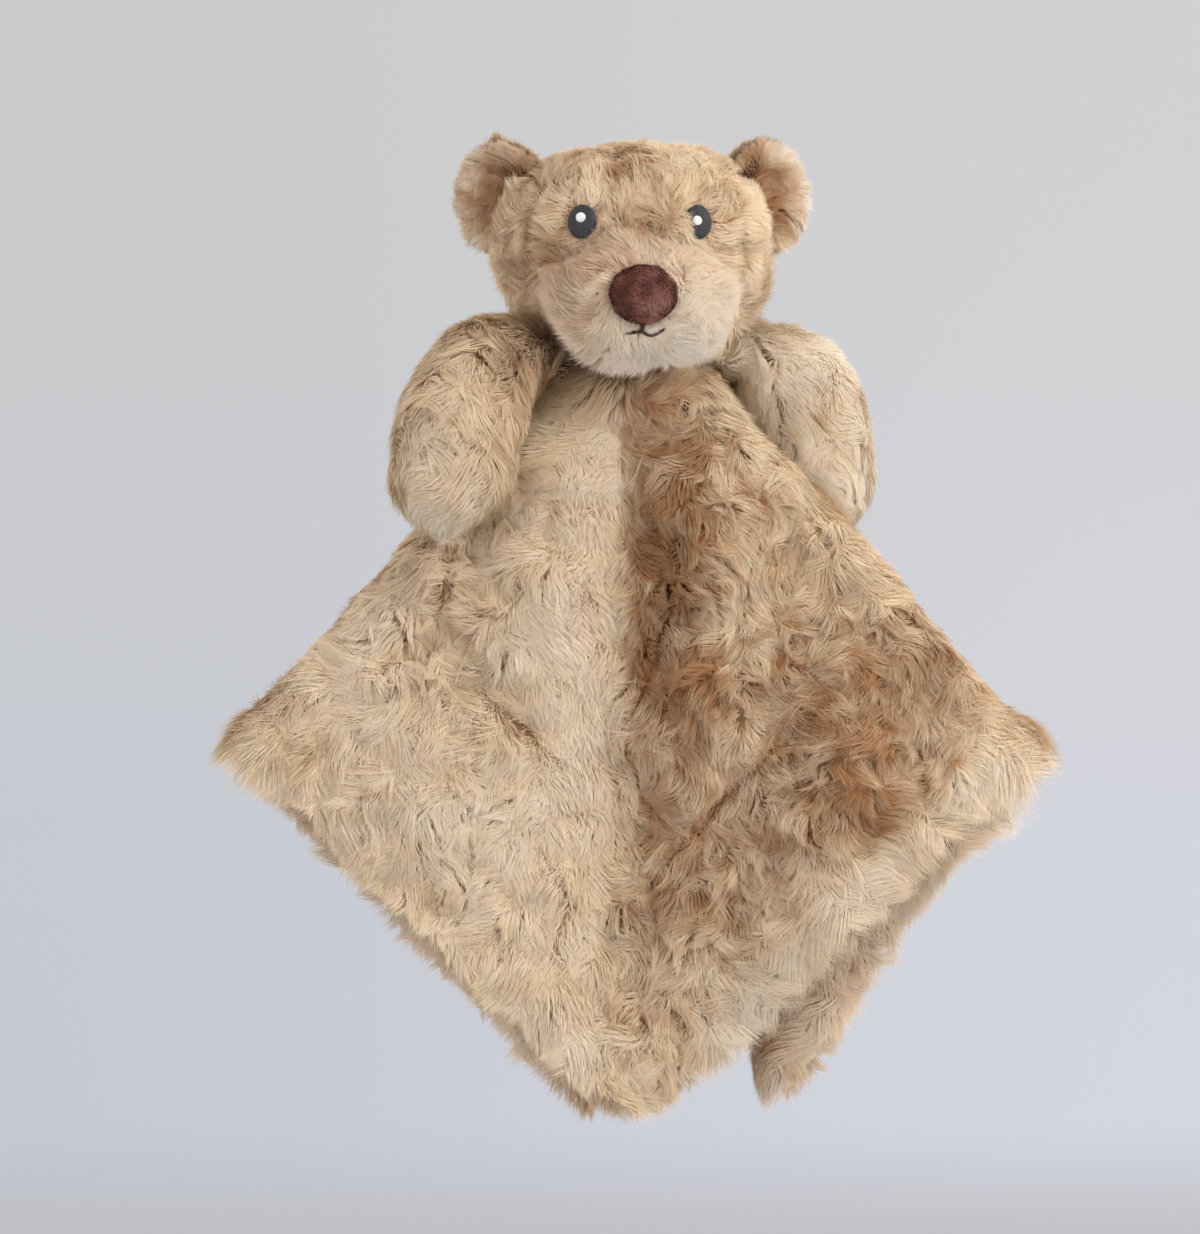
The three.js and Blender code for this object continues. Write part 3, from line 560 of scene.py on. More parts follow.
def make_twist():
    """Sewing thread: strands wound slantwise round it, read from its own UV map, as a shade and a height."""
    group, given, out = socketed(
        "twist",
        [("Colour", "NodeSocketColor", (0.4, 0.3, 0.2, 1)), ("Turns", "NodeSocketFloat", 200.0)],
        [("Color", "NodeSocketColor"), ("Height", "NodeSocketFloat")],
    )
    spot = node_of(group, "UVMap", uv_map="thread").outputs[0]
    along, around, _ = node_of(group, "SeparateXYZ", spot).outputs
    slant = maths(group, "ADD", maths(group, "MULTIPLY", along, given.outputs["Turns"]), around)
    ridge = maths(group, "ABSOLUTE", maths(group, "SINE", maths(group, "MULTIPLY", slant, math.pi)))
    dark = colour_mix(group, 1.0, given.outputs["Colour"], (0.45, 0.42, 0.4, 1), "MULTIPLY")
    group.links.new(colour_mix(group, ridge, dark, given.outputs["Colour"]), out.inputs["Color"])
    group.links.new(ridge, out.inputs["Height"])
    return group


def principled(name, roughness, sheen=0.0, sheen_tint=(1, 1, 1, 1), specular=0.2):
    """A material and its Principled shader, with its plain values."""
    material = bpy.data.materials.new(name)
    material.use_nodes = True
    shader = material.node_tree.nodes["Principled BSDF"]
    shader.inputs["Roughness"].default_value = roughness
    shader.inputs["Specular IOR Level"].default_value = specular
    shader.inputs["Sheen Weight"].default_value = sheen
    shader.inputs["Sheen Roughness"].default_value = 0.5
    shader.inputs["Sheen Tint"].default_value = sheen_tint
    return material, material.node_tree, shader


def placed(tree, shader, group, bump, **values):
    """A group node with its input values, its colour on the shader, and its height, if it has a bump's
    strength and distance, through a Bump node."""
    node = node_of(tree, "Group", node_tree=group)
    for title, value in values.items():
        node.inputs[title].default_value = value
    tree.links.new(node.outputs["Color"], shader.inputs["Base Color"])
    if bump:
        bumped = node_of(tree, "Bump")
        for title, value in zip(("Strength", "Distance", "Height"), (*bump, node.outputs["Height"])):
            fed(tree, bumped.inputs[title], value)
        tree.links.new(bumped.outputs[0], shader.inputs["Normal"])
    return node


PILE_COLOUR = make_pile_colour()
MOTTLE = make_mottle()
TWIST = make_twist()


def pile_material(name, *shades):
    """Polyester pile: matt, with a soft sheen, coloured along each strand from root, body and tip colour,
    with a warm one, which in places paints shade, and a pale one, which in places paints light."""
    values = {title: (*shade, 1) for title, shade in zip(SHADES, shades)}
    material, tree, shader = principled(name, 0.8, 0.2, values["Tip"])
    node = placed(tree, shader, PILE_COLOUR, None, **values)
    tree.links.new(node.outputs["Roughness"], shader.inputs["Roughness"])
    return material


def mottled_material(name, dark, light, scale, roughness, sheen=0.0, bump=(0.5, 0.0006), **plain):
    """Backing cloth, wadding, velour or embroidery: mottled colour and a fine bump."""
    material, tree, shader = principled(name, roughness, sheen, **plain)
    placed(tree, shader, MOTTLE, bump, Dark=(*dark, 1), Light=(*light, 1), Scale=scale)
    return material


def thread_material(name, colour, turns):
    """Thread: its twist as shade and bump."""
    material, tree, shader = principled(name, 0.6, 0.15)
    placed(tree, shader, TWIST, (0.7, 0.0002), Colour=(*colour, 1), Turns=turns)
    return material


plush = pile_material("plush", (0.79, 0.54, 0.325), (0.935, 0.72, 0.48), (0.95, 0.755, 0.52),
                      (0.45, 0.185, 0.058), (1.0, 0.88, 0.71))
muzzle_plush = pile_material("plush_muzzle", (0.80, 0.58, 0.385), (0.92, 0.735, 0.53), (0.94, 0.775, 0.58),
                             (0.48, 0.20, 0.07), (1.0, 0.90, 0.78))
# The ear lining's browns are painted shade of the cupped ear
shaded_ear_plush = pile_material("plush_ear_lining", (0.40, 0.215, 0.10), (0.66, 0.42, 0.235), (0.80, 0.57, 0.36),
                          (0.40, 0.165, 0.06), (0.97, 0.85, 0.70))
under_plush = pile_material("plush_underside", (0.74, 0.51, 0.32), (0.88, 0.68, 0.47), (0.92, 0.73, 0.52),
                            (0.50, 0.23, 0.09), (1.0, 0.88, 0.74))
backing = mottled_material("pile_backing", (0.50, 0.30, 0.165), (0.60, 0.385, 0.225), 900, 0.95)
wadding = mottled_material("wadding", (0.80, 0.78, 0.73), (0.93, 0.92, 0.89), 320, 1.0, bump=(0.8, 0.0006))
seam_thread = thread_material("seam_thread", (0.66, 0.48, 0.31), 900)
mouth_thread = thread_material("mouth_thread", (0.05, 0.022, 0.017), 40)


# Head
def head_level(points):
    """1 on the head's surface, less inside: the swollen form's norm, with its cheeks tapered below the
    middle."""
    q = (points - HEAD_CENTRE) / HEAD_RADII
    taper = 1 - CHEEK_TAPER * smooth(-q[..., 2], 0, 1)
    power = np.where(q[..., 2] > 0, CROWN_POWER, CHEEK_POWER)
    side = np.abs(q[..., 0] / taper) ** power
    return (side + np.abs(q[..., 1]) ** power + np.abs(q[..., 2]) ** power) ** (1 / power)


def once_round(levels, columns):
    """A grid of the given levels by angles once round, the last column on the first."""
    return np.meshgrid(levels, np.linspace(0, 2 * math.pi, columns), indexing="ij")


def swollen(radii, centre, ways, high_power, low_power, taper):
    """Directions pushed out to a form whose section is squarer as the power rises above 2."""
    power = np.where(ways[..., 2:] > 0, high_power, low_power)
    norm = (np.abs(ways) ** power).sum(-1, keepdims=True) ** (1 / power)
    p = ways / norm
    narrow = 1 - taper * smooth(-p[..., 2], 0, 1)
    return np.stack([p[..., 0] * narrow, p[..., 1], p[..., 2]], -1) * radii + centre


def ball_ways(rows, columns, first, last):
    """Directions of a ball on a grid: columns go round the upright axis, and rows rise between two angles."""
    up, around = once_round(np.linspace(first, last, rows), columns)
    return np.stack([np.cos(up) * np.cos(around), np.cos(up) * np.sin(around), np.sin(up)], -1)


def head_grid(offset, rows=90, columns=181):
    """The head's surface at an offset, softly lumped and drawn in a little along its two seams."""
    ways = ball_ways(rows, columns, -1.53, 1.555)
    place = swollen(HEAD_RADII + offset, HEAD_CENTRE, ways, CROWN_POWER, CHEEK_POWER, CHEEK_TAPER)
    normal = oriented(normals_of(place), place - HEAD_CENTRE)
    lumps = 0.9 * waves(place, 24, 11) + 0.4 * waves(place, 10, 12)
    off_middle = np.abs(place[..., 0])
    seam = bell((off_middle - PANEL_SEAM) / 2.2)
    jaw = bell((place[..., 2] + 57) / 11) * smooth(off_middle, 10, 24)
    return place + normal * (lumps - 1.3 * seam + 4.2 * jaw)[..., None], normal


def on_head(points):
    """Points in the head's own frame, put into the row frame."""
    return turned(points, HEAD_TURN)


def eye_gap(points):
    """How far a point on the face is from the nearer eye, in eye radii: 1 on its edge."""
    x = (np.abs(points[..., 0]) - EYE_PLACE[0]) / EYE_RADII[0]
    z = (points[..., 2] - EYE_PLACE[1]) / EYE_RADII[1]
    return np.where(points[..., 1] < 0, np.hypot(x, z), 9)


def head_pile(*given):
    """Pile made in the head's own frame and turned with it."""
    pile(*given).data.transform(Matrix.Rotation(HEAD_TURN, 4, "Z"))


def comb_head(roots, normals, row, column):
    """Pile of the head: it runs away from the nose, over the brow and round the cheeks, stands open between
    the eyes and on the crown, and hangs down long from the jaw. Its tone paints shade on the left cheek and
    light on the right cheek and under the jaw."""
    x, _, z = roots.T
    off_seam = np.abs(x) - PANEL_SEAM
    gap = eye_gap(roots)
    front = smooth(-normals[:, 1], 0.1, 0.8)
    inner_side = bell((x - 13.5) / 3.2, (z + 27) / 6) * front
    seam = bell(off_seam / 3.0)
    jaw = smooth(-z, 52, 64)
    brow = bell(x / 12, (z + 27) / 9) * front
    crown = bell(x / 24, (z + 6) / 7)
    left_cheek_shade = bell((x + 31) / 11, (z + 43) / 13) * front
    right_cheek = bell((x - 24) / 8, (z + 46) / 16) * front
    top = smooth(z, -16, -3)
    jowl = smooth(np.abs(x), 26, 36) * bell((z + 56) / 11)
    from_eye = np.stack([x - np.sign(x) * EYE_PLACE[0], 0 * x, z - EYE_PLACE[1]], -1)
    round_eye = 0.9 * (1 - smooth(gap, 1.1, 2.2))
    nap = unit(roots - np.array([0, -44, -50])) + unit(from_eye) * round_eye[:, None]
    nap = nap + np.array([1.9, 0, -0.6]) * inner_side[:, None]
    nap = nap + np.array([1.0, 0, 0]) * (np.sign(off_seam) * np.sign(x) * seam)[:, None]
    nap = nap + np.array([0, 0, -1.2]) * jaw[:, None]
    length = (9.2 + 0.7 * waves(roots, 20, 21)) * mix(0.62, 1.0, smooth(gap, 0.9, 2.0))
    length = length * mix(1.0, 0.92, front) * (1 - 0.2 * top)
    tone = 0.06 + 0.10 * waves(roots, 22, 22) + 0.09 * waves(roots, 8, 23) + 0.42 * brow + 0.3 * crown
    # Tone: painted shade on the left cheek, away from the light; painted light on the right cheek, and under
    # the jaw against its shade
    return {
        "nap": nap,
        "lie": 60 - 10 * brow - 6 * crown + 8 * right_cheek - 24 * jaw + 16 * top - 8 * jowl,
        "length": length + 3.5 * jaw + 0.6 * inner_side + 1.6 * jowl,
        "tone": tone - 0.65 * right_cheek + 0.62 * left_cheek_shade + 0.16 * seam - 0.3 * jaw,
        "swirl": 48.0 * (1 - 0.6 * right_cheek),
        "wild": 1 - 0.6 * right_cheek,
        "lock": 6.5,
    }


def make_head():
    """Head: a padded body under the pile of its three panels, with the wadding inside."""
    place, normal = head_grid(-HEAD_INSETS[0])
    skin = form("head_padded_body", on_head(place), CLOSED, backing, "head",
                ["head_base_panel"])
    inner, _ = head_grid(-HEAD_INSETS[1], 40, 81)
    inner = inner + (1.2 * waves(inner, 9, 13))[..., None] * unit(inner - HEAD_CENTRE)
    filling = form("head_wadding_form", on_head(inner), CLOSED, wadding, "head",
                   ["head_wadding"])
    x, y, z = np.moveaxis(place, -1, 0)
    muzzle = (np.abs((place - MUZZLE_CENTRE) / (MUZZLE_RADII - 3.5)) ** 2).sum(-1)
    grows = smooth(muzzle, 0.8, 1.05) * smooth(eye_gap(place), 0.86, 1.0)
    grows = grows * np.where(z < -60, smooth(np.hypot(x, y), 15, 18), 1) * mix(1.0, 0.62, smooth(y, 0, 20))
    at_side = np.abs(x) > PANEL_SEAM
    for name, where, count, node, seed in (
        ("head_centre_pile", ~at_side, 70000, "head_centre_panel", 31),
        ("head_side_pile_left", at_side & (x < 0), 19000, "head_side_panel_left", 32),
        ("head_side_pile_right", at_side & (x > 0), 19000, "head_side_panel_right", 33),
    ):
        head_pile(name, place, normal, grows * where, count, comb_head, seed, plush, "head", "plush", [node])


# Muzzle
def muzzle_grid(offset, rows=60, columns=121):
    """The muzzle's swollen form from its front pole back: polar angles about the way that the face looks."""
    polar, around = once_round(np.linspace(0.03, 2.25, rows), columns)
    ways = np.stack([np.sin(polar) * np.cos(around), -np.cos(polar), np.sin(polar) * np.sin(around)], -1)
    place = swollen(MUZZLE_RADII + offset, MUZZLE_CENTRE, ways, MUZZLE_POWER, MUZZLE_POWER, 0)
    normal = oriented(normals_of(place), place - MUZZLE_CENTRE)
    return place + normal * (0.6 * waves(place, 14, 41))[..., None], normal


def comb_muzzle(roots, normals, row, column):
    """Pile of the muzzle: brushed outwards all round from the nose, and short near the eyes."""
    x, _, z = roots.T
    away = roots - (NOSE_CENTRE + np.array([0, 3.0, -1.0]))
    reach = length_of(away)[:, 0]
    over_nose = bell((x - 10.5) / 2.6, (z - NOSE_CENTRE[2] - 5) / 3.5)
    length = mix(6.0, 12.5, smooth(reach, 11, 26)) * mix(0.3, 1, smooth(eye_gap(roots), 1.3, 3.6))
    # Warmer on the left and paler on the right, painted shade and painted light; paler under the chin,
    # painted light against the shade of the overhang
    tone = -0.06 + 0.10 * waves(roots, 14, 42) + 0.42 * smooth(z, -50, -36) + 0.34 * smooth(-x, 6, 20)
    return {
        "nap": unit(away) - np.array([2.6, 0, 1.4]) * over_nose[:, None],
        "lie": 58 + 10 * smooth(-reach, -18, -8) + 14 * smooth(reach, 22, 30) - 26 * over_nose,
        "length": length + 3.5 * over_nose,
        "tone": tone - 0.16 * smooth(x, 4, 16) + 0.1 * waves(roots, 6, 44) - 0.55 * smooth(-z, 60, 68),
        "swirl": 24.0,
        "wild": 0.75,
    }


def make_muzzle():
    """Muzzle: its padded body, the wadding inside and its pile."""
    place, normal = muzzle_grid(-MUZZLE_INSETS[0])
    skin = form("muzzle_padded_body", on_head(place), CLOSED, backing, "head")
    inner, _ = muzzle_grid(-MUZZLE_INSETS[1], 30, 61)
    filling = form("muzzle_wadding_form", on_head(inner), CLOSED, wadding, "head",
                   ["muzzle_wadding"])
    nose = np.hypot(place[..., 0] / 9.6, (place[..., 2] - NOSE_CENTRE[2]) / 8.2)
    grows = smooth(head_level(place), 0.93, 0.97) * np.where(place[..., 1] < -48, smooth(nose, 0.95, 1.05), 1)
    reach = length_of(place - NOSE_CENTRE)
    outward = unit((place - HEAD_CENTRE) / HEAD_RADII**2)
    normal = unit(mix(normal, outward, 0.8 * smooth(reach, 14, 27)))
    head_pile("muzzle_pile", place, normal, grows, 29000, comb_muzzle, 143, muzzle_plush, "head",
              "plush_muzzle", ["muzzle_panel"])


# Ears
EAR_ROWS = 44


def ear_frame(points, side):
    """Points of an ear's own frame, leaned, turned and put in place on the head."""
    lean, turn = side * EAR_LEAN, side * EAR_TURN
    c, s = math.cos(lean), math.sin(lean)
    leaned = points @ np.array([[c, 0, -s], [0, 1, 0], [s, 0, c]])
    return turned(leaned, turn) + EAR_PLACE * np.array([side, 1, 1])


def ear_share(level):
    """How far out towards the rim a row of the ear's grid lies: rows close up towards the rim."""
    return np.sin(mix(0.02, 1, level) * math.pi / 2)


def ear_grid(side, front):
    """One face of an ear: an oval dish, deepest in its middle, its wall thinner towards the rim."""
    level, around = once_round(np.linspace(0, 1, EAR_ROWS), 91)
    share = ear_share(level)
    way = -1 if front else 1
    depth = EAR_CUP * (1 - share**2) + way * mix(*EAR_WALL, share**4)
    x = side * EAR_RADII[0] * share * np.cos(around)
    place = ear_frame(np.stack([x, depth, EAR_RADII[1] * share * np.sin(around)], -1), side)
    facing = ear_frame(np.array([0.0, way, 0.0]), side) - EAR_PLACE * np.array([side, 1, 1])
    normal = oriented(normals_of(place), facing)
    outward = unit(place - ear_frame(np.zeros(3), side))
    return place, unit(normal + 0.9 * outward * smooth(share, 0.75, 1)[..., None]), share


def comb_ear(side, front):
    """Pile of an ear: it runs out to the rim, short and dark in the dish, longer and paler at the rim and
    behind. The dish's dark is painted shade of the cupped ear, deepest next to the head."""
    middle = ear_frame(np.array([0.0, EAR_CUP, 0.0]), side)
    lie, rim_lie, length = (40, 50, 7.0) if front else (58, 54, 8.0)

    def comb(roots, normals, row, column):
        share = ear_share(row / (EAR_ROWS - 1))
        rim = smooth(share, 0.55, 0.98)
        # Painted shadow of the head on the dish beside it
        head_shadow = smooth(44 - np.abs(roots[:, 0]), -4, 6)
        tone = 0.62 - 1.1 * rim + 0.85 * head_shadow if front else 0.38 - 0.5 * rim
        return {
            "nap": roots - middle + np.array([0, 0, 1.0]),
            "lie": mix(lie, rim_lie - 16 * smooth(share, 0.93, 1), rim),
            "length": mix(length, 7.6, rim),
            "tone": tone + 0.12 * waves(roots, 9, 52),
            "swirl": 34.0,
            "lock": 5.0,
        }

    return comb


def make_ear(side):
    """Ear: an inner and an outer cloth dish with their pile, sewn to the head."""
    word = SIDE_WORDS[side]
    body = f"ear_{word}"
    for front, label, material, slot, count, seed in (
        (True, "inner", shaded_ear_plush, "plush_ear_lining", 12000, 64),
        (False, "outer", plush, "plush", 16000, 60),
    ):
        place, normal, share = ear_grid(side, front)
        cloth = form(f"ear_{label}_cloth_{word}", on_head(place), OPEN_LAST, backing, body, (),
                     on_head(normal))
        weight = smooth(head_level(place), 0.97, 1.02) * mix(1.0, 2.6, smooth(share, 0.85, 1.0))
        head_pile(f"ear_{label}_pile_{word}", place, normal, weight, count, comb_ear(side, front),
                  seed + side, material, body, slot, [f"ear_{label}_panel_{word}"])


# Arms
ARM_OUT = np.array([0, 0.14, 0.31, 0.43, 0.46, 0.45])
ARM_DOWN = np.array([0, -0.03, 0.06, 0.31, 0.54, 0.76])
ARM_FORWARD = np.array([0.12, 0.32, 0.66, 0.93, 1.04, 1.08])
ARM_BACK = np.array([0.04, 0.12, 0.22, 0.3, 0.36, 0.4])


def curve_through(points, t):
    """A centripetal spline through the points: cubic pieces whose knots lie apart by the root of each
    chord."""
    p = np.vstack([2 * points[0] - points[1], points, 2 * points[-1] - points[-2]])
    spot = np.clip(t, 0, 1) * (len(points) - 1)
    k = np.minimum(spot.astype(int), len(points) - 2)
    w = (spot - k)[:, None]
    a, b, c, d = p[k], p[k + 1], p[k + 2], p[k + 3]
    u, v, x = (np.sqrt(length_of(m)) for m in (b - a, c - b, d - c))
    first = ((b - a) / u - (c - a) / (u + v) + (c - b) / v) * v
    last = ((c - b) / v - (d - b) / (v + x) + (d - c) / x) * v
    return b + first * w + (-3 * b + 3 * c - 2 * first - last) * w**2 + (2 * b - 2 * c + first + last) * w**3


def arm_grid(side, inset, rows=80, columns=61):
    """An arm's surface: ovals across a spline that starts flat at the neck, swells and closes in a round
    paw."""
    depth = ARM_FORWARD if side < 0 else ARM_BACK
    path = np.stack([side * (ARM_ROOT + ARM_OUT * ARM_LENGTH), side * depth * ARM_DEPTH,
                     ARM_TOP - ARM_DROP[side] - ARM_DOWN * ARM_LENGTH], -1)
    end = 1 - inset / ARM_LENGTH
    t = end * np.sin(np.linspace(0.0, 1.0, rows) * math.pi / 2)
    t[-1] = end * 0.9995
    centre = curve_through(path, t)
    tangent = unit(curve_through(path, t + 0.004) - curve_through(path, t - 0.004))
    across = flat_on(np.tile([0.0, 1.0, 0.0], (rows, 1)), tangent)
    over = np.cross(tangent, across)
    swell = smooth(t, 0, 0.5)
    wide, high = (mix(oval, ARM_PAW, swell) for oval in ARM_ROOT_OVAL)
    cut = np.minimum(inset, mix(1.2, inset, swell))
    paw = np.sqrt(np.maximum(0, 1 - (np.maximum(0, t - PAW_START) / (end - PAW_START)) ** 2))
    turn = np.linspace(0, 2 * math.pi, columns)
    first = (paw * (wide - cut))[:, None, None] * across[:, None] * np.cos(turn)[None, :, None]
    second = (paw * (high - cut))[:, None, None] * over[:, None] * np.sin(turn)[None, :, None]
    place = centre[:, None] + first + second
    normal = oriented(normals_of(place), place - centre[:, None])
    return place + normal * (0.8 * waves(place, 22, 71) * swell[:, None])[..., None], normal, tangent


def comb_arm(side, tangent):
    """Pile of an arm: it lies along the arm, more upright on its inner side, and hangs long from the paw. On
    the left arm its tone paints shade on the inner side and light towards the paw.
    """

    def comb(roots, normals, row, column):
        share = row / (len(tangent) - 1)
        root_end = smooth(share, 0.02, 0.2)
        end = smooth(share, 0.78, 0.95)
        inner = smooth(-side * normals[:, 0], 0.1, 0.8) * (1 - smooth(share, 0.45, 0.75))
        # Left arm: warmer on the inner side, painted shade in the valley by the blanket; paler towards the
        # paw, painted light against its shade
        if side < 0:
            base = 0.10 - 0.36 * smooth(share, 0.1, 0.5) - 0.55 * smooth(share, 0.6, 0.9) + 0.36 * inner
        else:
            swirled = bell((roots[:, 0] - 65) / 5, (roots[:, 2] + 92) / 8)
            base = -0.66 + swirled * smooth(-normals[:, 1], 0, 0.6)
        nap = tangent[np.clip(row.astype(int), 0, len(tangent) - 1)]
        return {
            "nap": nap + np.array([0, 0, -1.6]) * end[:, None],
            "lie": mix(56, 63, root_end) - 12 * inner - 4 * smooth(share, 0.8, 1.0),
            "length": mix(10.5, 9.2, root_end) + 2.5 * inner + 5.0 * end,
            "tone": base + 0.09 * waves(roots, 17, 72 + side) + 0.07 * waves(roots, 6, 73 + side),
            "swirl": 22.0 if side < 0 else 34.0,
            "wild": 0.65 if side < 0 else 0.8,
        }

    return comb


def make_arm(side):
    """Arm: a padded body, its wadding and its pile."""
    word = SIDE_WORDS[side]
    body = f"arm_{word}"
    place, normal, tangent = arm_grid(side, ARM_INSETS[0])
    skin = form(f"arm_padded_body_{word}", place, CLOSED, backing, body)
    inner, _, _ = arm_grid(side, ARM_INSETS[1], 40, 41)
    filling = form(f"arm_wadding_form_{word}", inner, CLOSED, wadding, body,
                   [f"arm_wadding_{word}"])
    by_root = 1 + 1.2 * (1 - smooth(np.arange(len(place)) / len(place), 0.1, 0.3))[:, None]
    front = (normal[..., 1] < 0).astype(float)
    for label, where, count, seed in (("front", front, 34000, 75), ("back", 1 - front, 18000, 78)):
        pile(f"arm_{label}_pile_{word}", place, normal, where * by_root, count, comb_arm(side, tangent),
             seed + side, plush, body, "plush", [f"arm_{label}_panel_{word}"])


# Blanket
def folded(rho, segment, share, tuck):
    """A place on half of the folded loop at distance rho from the middle: how far along, how deep and how
    much cloth so far. The loop runs along the front to its ridge, round a bend, back to the tuck, round the
    inner bend, out to the back ridge, round a bend and back to the middle line behind."""
    ridge = rho * np.radians(45 + 16 * np.exp(-(rho - 31) / 60)) - BEND
    back = rho * np.radians(45 - 10 * bell((rho - 75) / 45)) - BEND
    inner = np.hypot(rho * tuck, 9) + BEND
    arc = np.full(rho.shape, math.pi * BEND)
    lengths = np.stack([ridge, arc, ridge - inner, arc, back - inner, arc, back])
    ends = np.cumsum(lengths, 0)
    before = np.concatenate([np.zeros((1, *rho.shape)), ends[:-1]])
    cloth = np.take_along_axis(before + share * lengths, segment[None], 0)[0]
    turn = math.pi * (share - 0.5)
    out, deep = BEND * np.cos(turn), BEND * np.sin(turn)
    along = np.choose(segment, [share * ridge, ridge + out, mix(ridge, inner, share), inner - out,
                                mix(inner, back, share), back + out, mix(back, 0, share)])
    depth = np.choose(segment, [-1.5 * PITCH + 0 * out, deep - PITCH, -0.5 * PITCH + 0 * out, deep,
                                0.5 * PITCH + 0 * out, deep + PITCH, 1.5 * PITCH + 0 * out])
    return along, depth, cloth, ends[-1]


# Shape of the blanket: how fast it spreads at the neck to the sides and to the front and back, how far the
# front bulges, a sway that grows downwards and its length, and the drop of the middle surface
DOME_WIDE = 0.8
DOME_DEEP = 0.3
BULGE = 5.0
SWAY = 4.0
SWAY_LENGTH = 150.0
MIDDLE_DROP = 3.4
# Grid cells along each segment of half the loop
CELLS = ((30, 12, 20, 12, 20, 12, 24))
HALF_CELLS = sum(CELLS)


def edge_distance(angle):
    """From the middle to the edge of the square with rounded corners, whose corners are at quarter turns."""
    a = np.abs(np.cos(angle - math.pi / 4)) ** 20 + np.abs(np.sin(angle - math.pi / 4)) ** 20
    return BLANKET_HALF / a ** (1 / 20)


# The crease, which draws every layer back: its line in x and z, its depth and its reach to the left and right
CREASE = ((-4, -92), (-4, -160), (-5, -205), (-11, -286))
CREASE_DEPTH = 6.0
CREASE_REACH = (12.0, 20.0)
# Shallow folds of the front layer: the corners of a line, the depth, and the reach
FOLDS = (
    (((-82, -166), (-60, -172), (-44, -184), (-24, -206)), 3.5, 12.0),
    (((62, -185), (32, -216), (8, -243)), 4.0, 12.0),
)
# Narrow partings, where the pile opens along a line, with painted shade along each: corners, strength
PARTINGS = (
    (((-82, -173), (-64, -167)), 0.8),
    (((-51, -181), (-43, -190), (-26, -205)), 1.0),
    (((62, -185), (31, -217), (8, -243)), 1.0),
    (((-62, -140), (-63, -158)), 0.8),
    (((-49, -163), (-45, -174)), 0.6),
    (((27, -179), (33, -183), (38, -180)), 0.7),
    (((30, -118), (24, -138), (29, -160)), 0.5),
    (((-108, -204), (-94, -222)), 0.5),
    (((74, -208), (98, -205)), 0.5),
    (((-30, -232), (-22, -250), (-26, -268)), 0.5),
    (((26, -262), (44, -254), (62, -258)), 0.5),
)


def crease_dip(x, z):
    """How far the crease draws the cloth back: a bell across its line, narrower on the left."""
    gap, step_x, _ = off_line(x, z, CREASE)
    return CREASE_DEPTH * bell(gap / np.where(step_x < 0, *CREASE_REACH))


def fold_dips(x, z):
    """How far the shallow folds draw the front in: a bell across each line."""
    return sum(depth * line_bell(x, z, corners, reach) for corners, depth, reach in FOLDS)


def blanket_grid():
    """The blanket's middle surface. A material angle comes from the share of the loop's cloth, so that at
    each distance from the neck the loop holds what the square has there; near the neck it fades into a
    dome."""
    rows = 96
    segment = np.concatenate([np.full(n, k) for k, n in enumerate(CELLS)])
    share = np.concatenate([np.arange(n) / n for n in CELLS])
    segment, share = np.append(segment, 6), np.append(share, 1.0)
    side = np.concatenate([np.ones(HALF_CELLS + 1), -np.ones(HALF_CELLS)])
    order = np.concatenate([np.arange(HALF_CELLS + 1), np.arange(HALF_CELLS - 1, -1, -1)])
    segment, share = segment[order], share[order]
    out = np.linspace(0.03, 1, rows) ** 0.85
    out_share, column_side = np.meshgrid(out, side, indexing="ij")
    seg = np.broadcast_to(segment, out_share.shape)
    shr = np.broadcast_to(share, out_share.shape)
    tuck = np.where(column_side > 0, TUCK_RIGHT, TUCK_LEFT)
    rho = out_share * BLANKET_HALF
    for _ in range(4):
        along, depth, cloth, whole = folded(np.maximum(rho, NECK_RADIUS), seg, shr, tuck)
        angle = math.pi * cloth / whole
        rho = out_share * mix(BLANKET_HALF, edge_distance(angle), out_share**2)
    along, depth, cloth, whole = folded(np.maximum(rho, NECK_RADIUS), seg, shr, tuck)
    angle = math.pi * cloth / whole
    swing = along / np.maximum(rho, NECK_RADIUS)
    hang = np.stack([rho * np.sin(swing), depth, -rho * np.cos(swing)], -1)
    beyond, within = np.maximum(0, rho - NECK_RADIUS), np.minimum(rho, NECK_RADIUS)
    spread = np.hypot(DOME_WIDE * np.sin(angle), DOME_DEEP * np.cos(angle))
    dome = np.stack([(within + DOME_WIDE * beyond) * np.sin(angle),
                     -(within + DOME_DEEP * beyond) * np.cos(angle),
                     -beyond * np.sqrt(1 - spread**2)], -1)
    settle = smooth(rho, NECK_RADIUS, 75)
    point = mix(dome, hang, settle[..., None])
    bulge = np.where(seg == 0, np.sin(math.pi * shr) ** 2, 0)
    point[..., 1] -= BULGE * bulge * settle
    farther = smooth(rho, 75, BLANKET_HALF)
    point[..., 1] += SWAY * farther * np.sin(2 * math.pi * column_side * point[..., 0] / SWAY_LENGTH + 1)
    point[..., 0] *= column_side
    point[..., 2] += BLANKET_TOP - MIDDLE_DROP
    lumps = 1.5 * waves(point, 42, 81) + 0.8 * waves(point, 17, 82)
    point[..., 1] += lumps * smooth(rho, 20, 60)
    front = (seg == 0) * smooth(rho, 12, 40)
    front = front * np.where(shr > 0.75, 1 - smooth(shr, 0.75, 1), 1)
    point[..., 1] += crease_dip(point[..., 0], point[..., 2]) * smooth(rho, NECK_RADIUS, 2 * NECK_RADIUS)
    point[..., 1] += front * fold_dips(point[..., 0], point[..., 2])
    return point, seg, shr, column_side, rho, edge_distance(angle) - rho


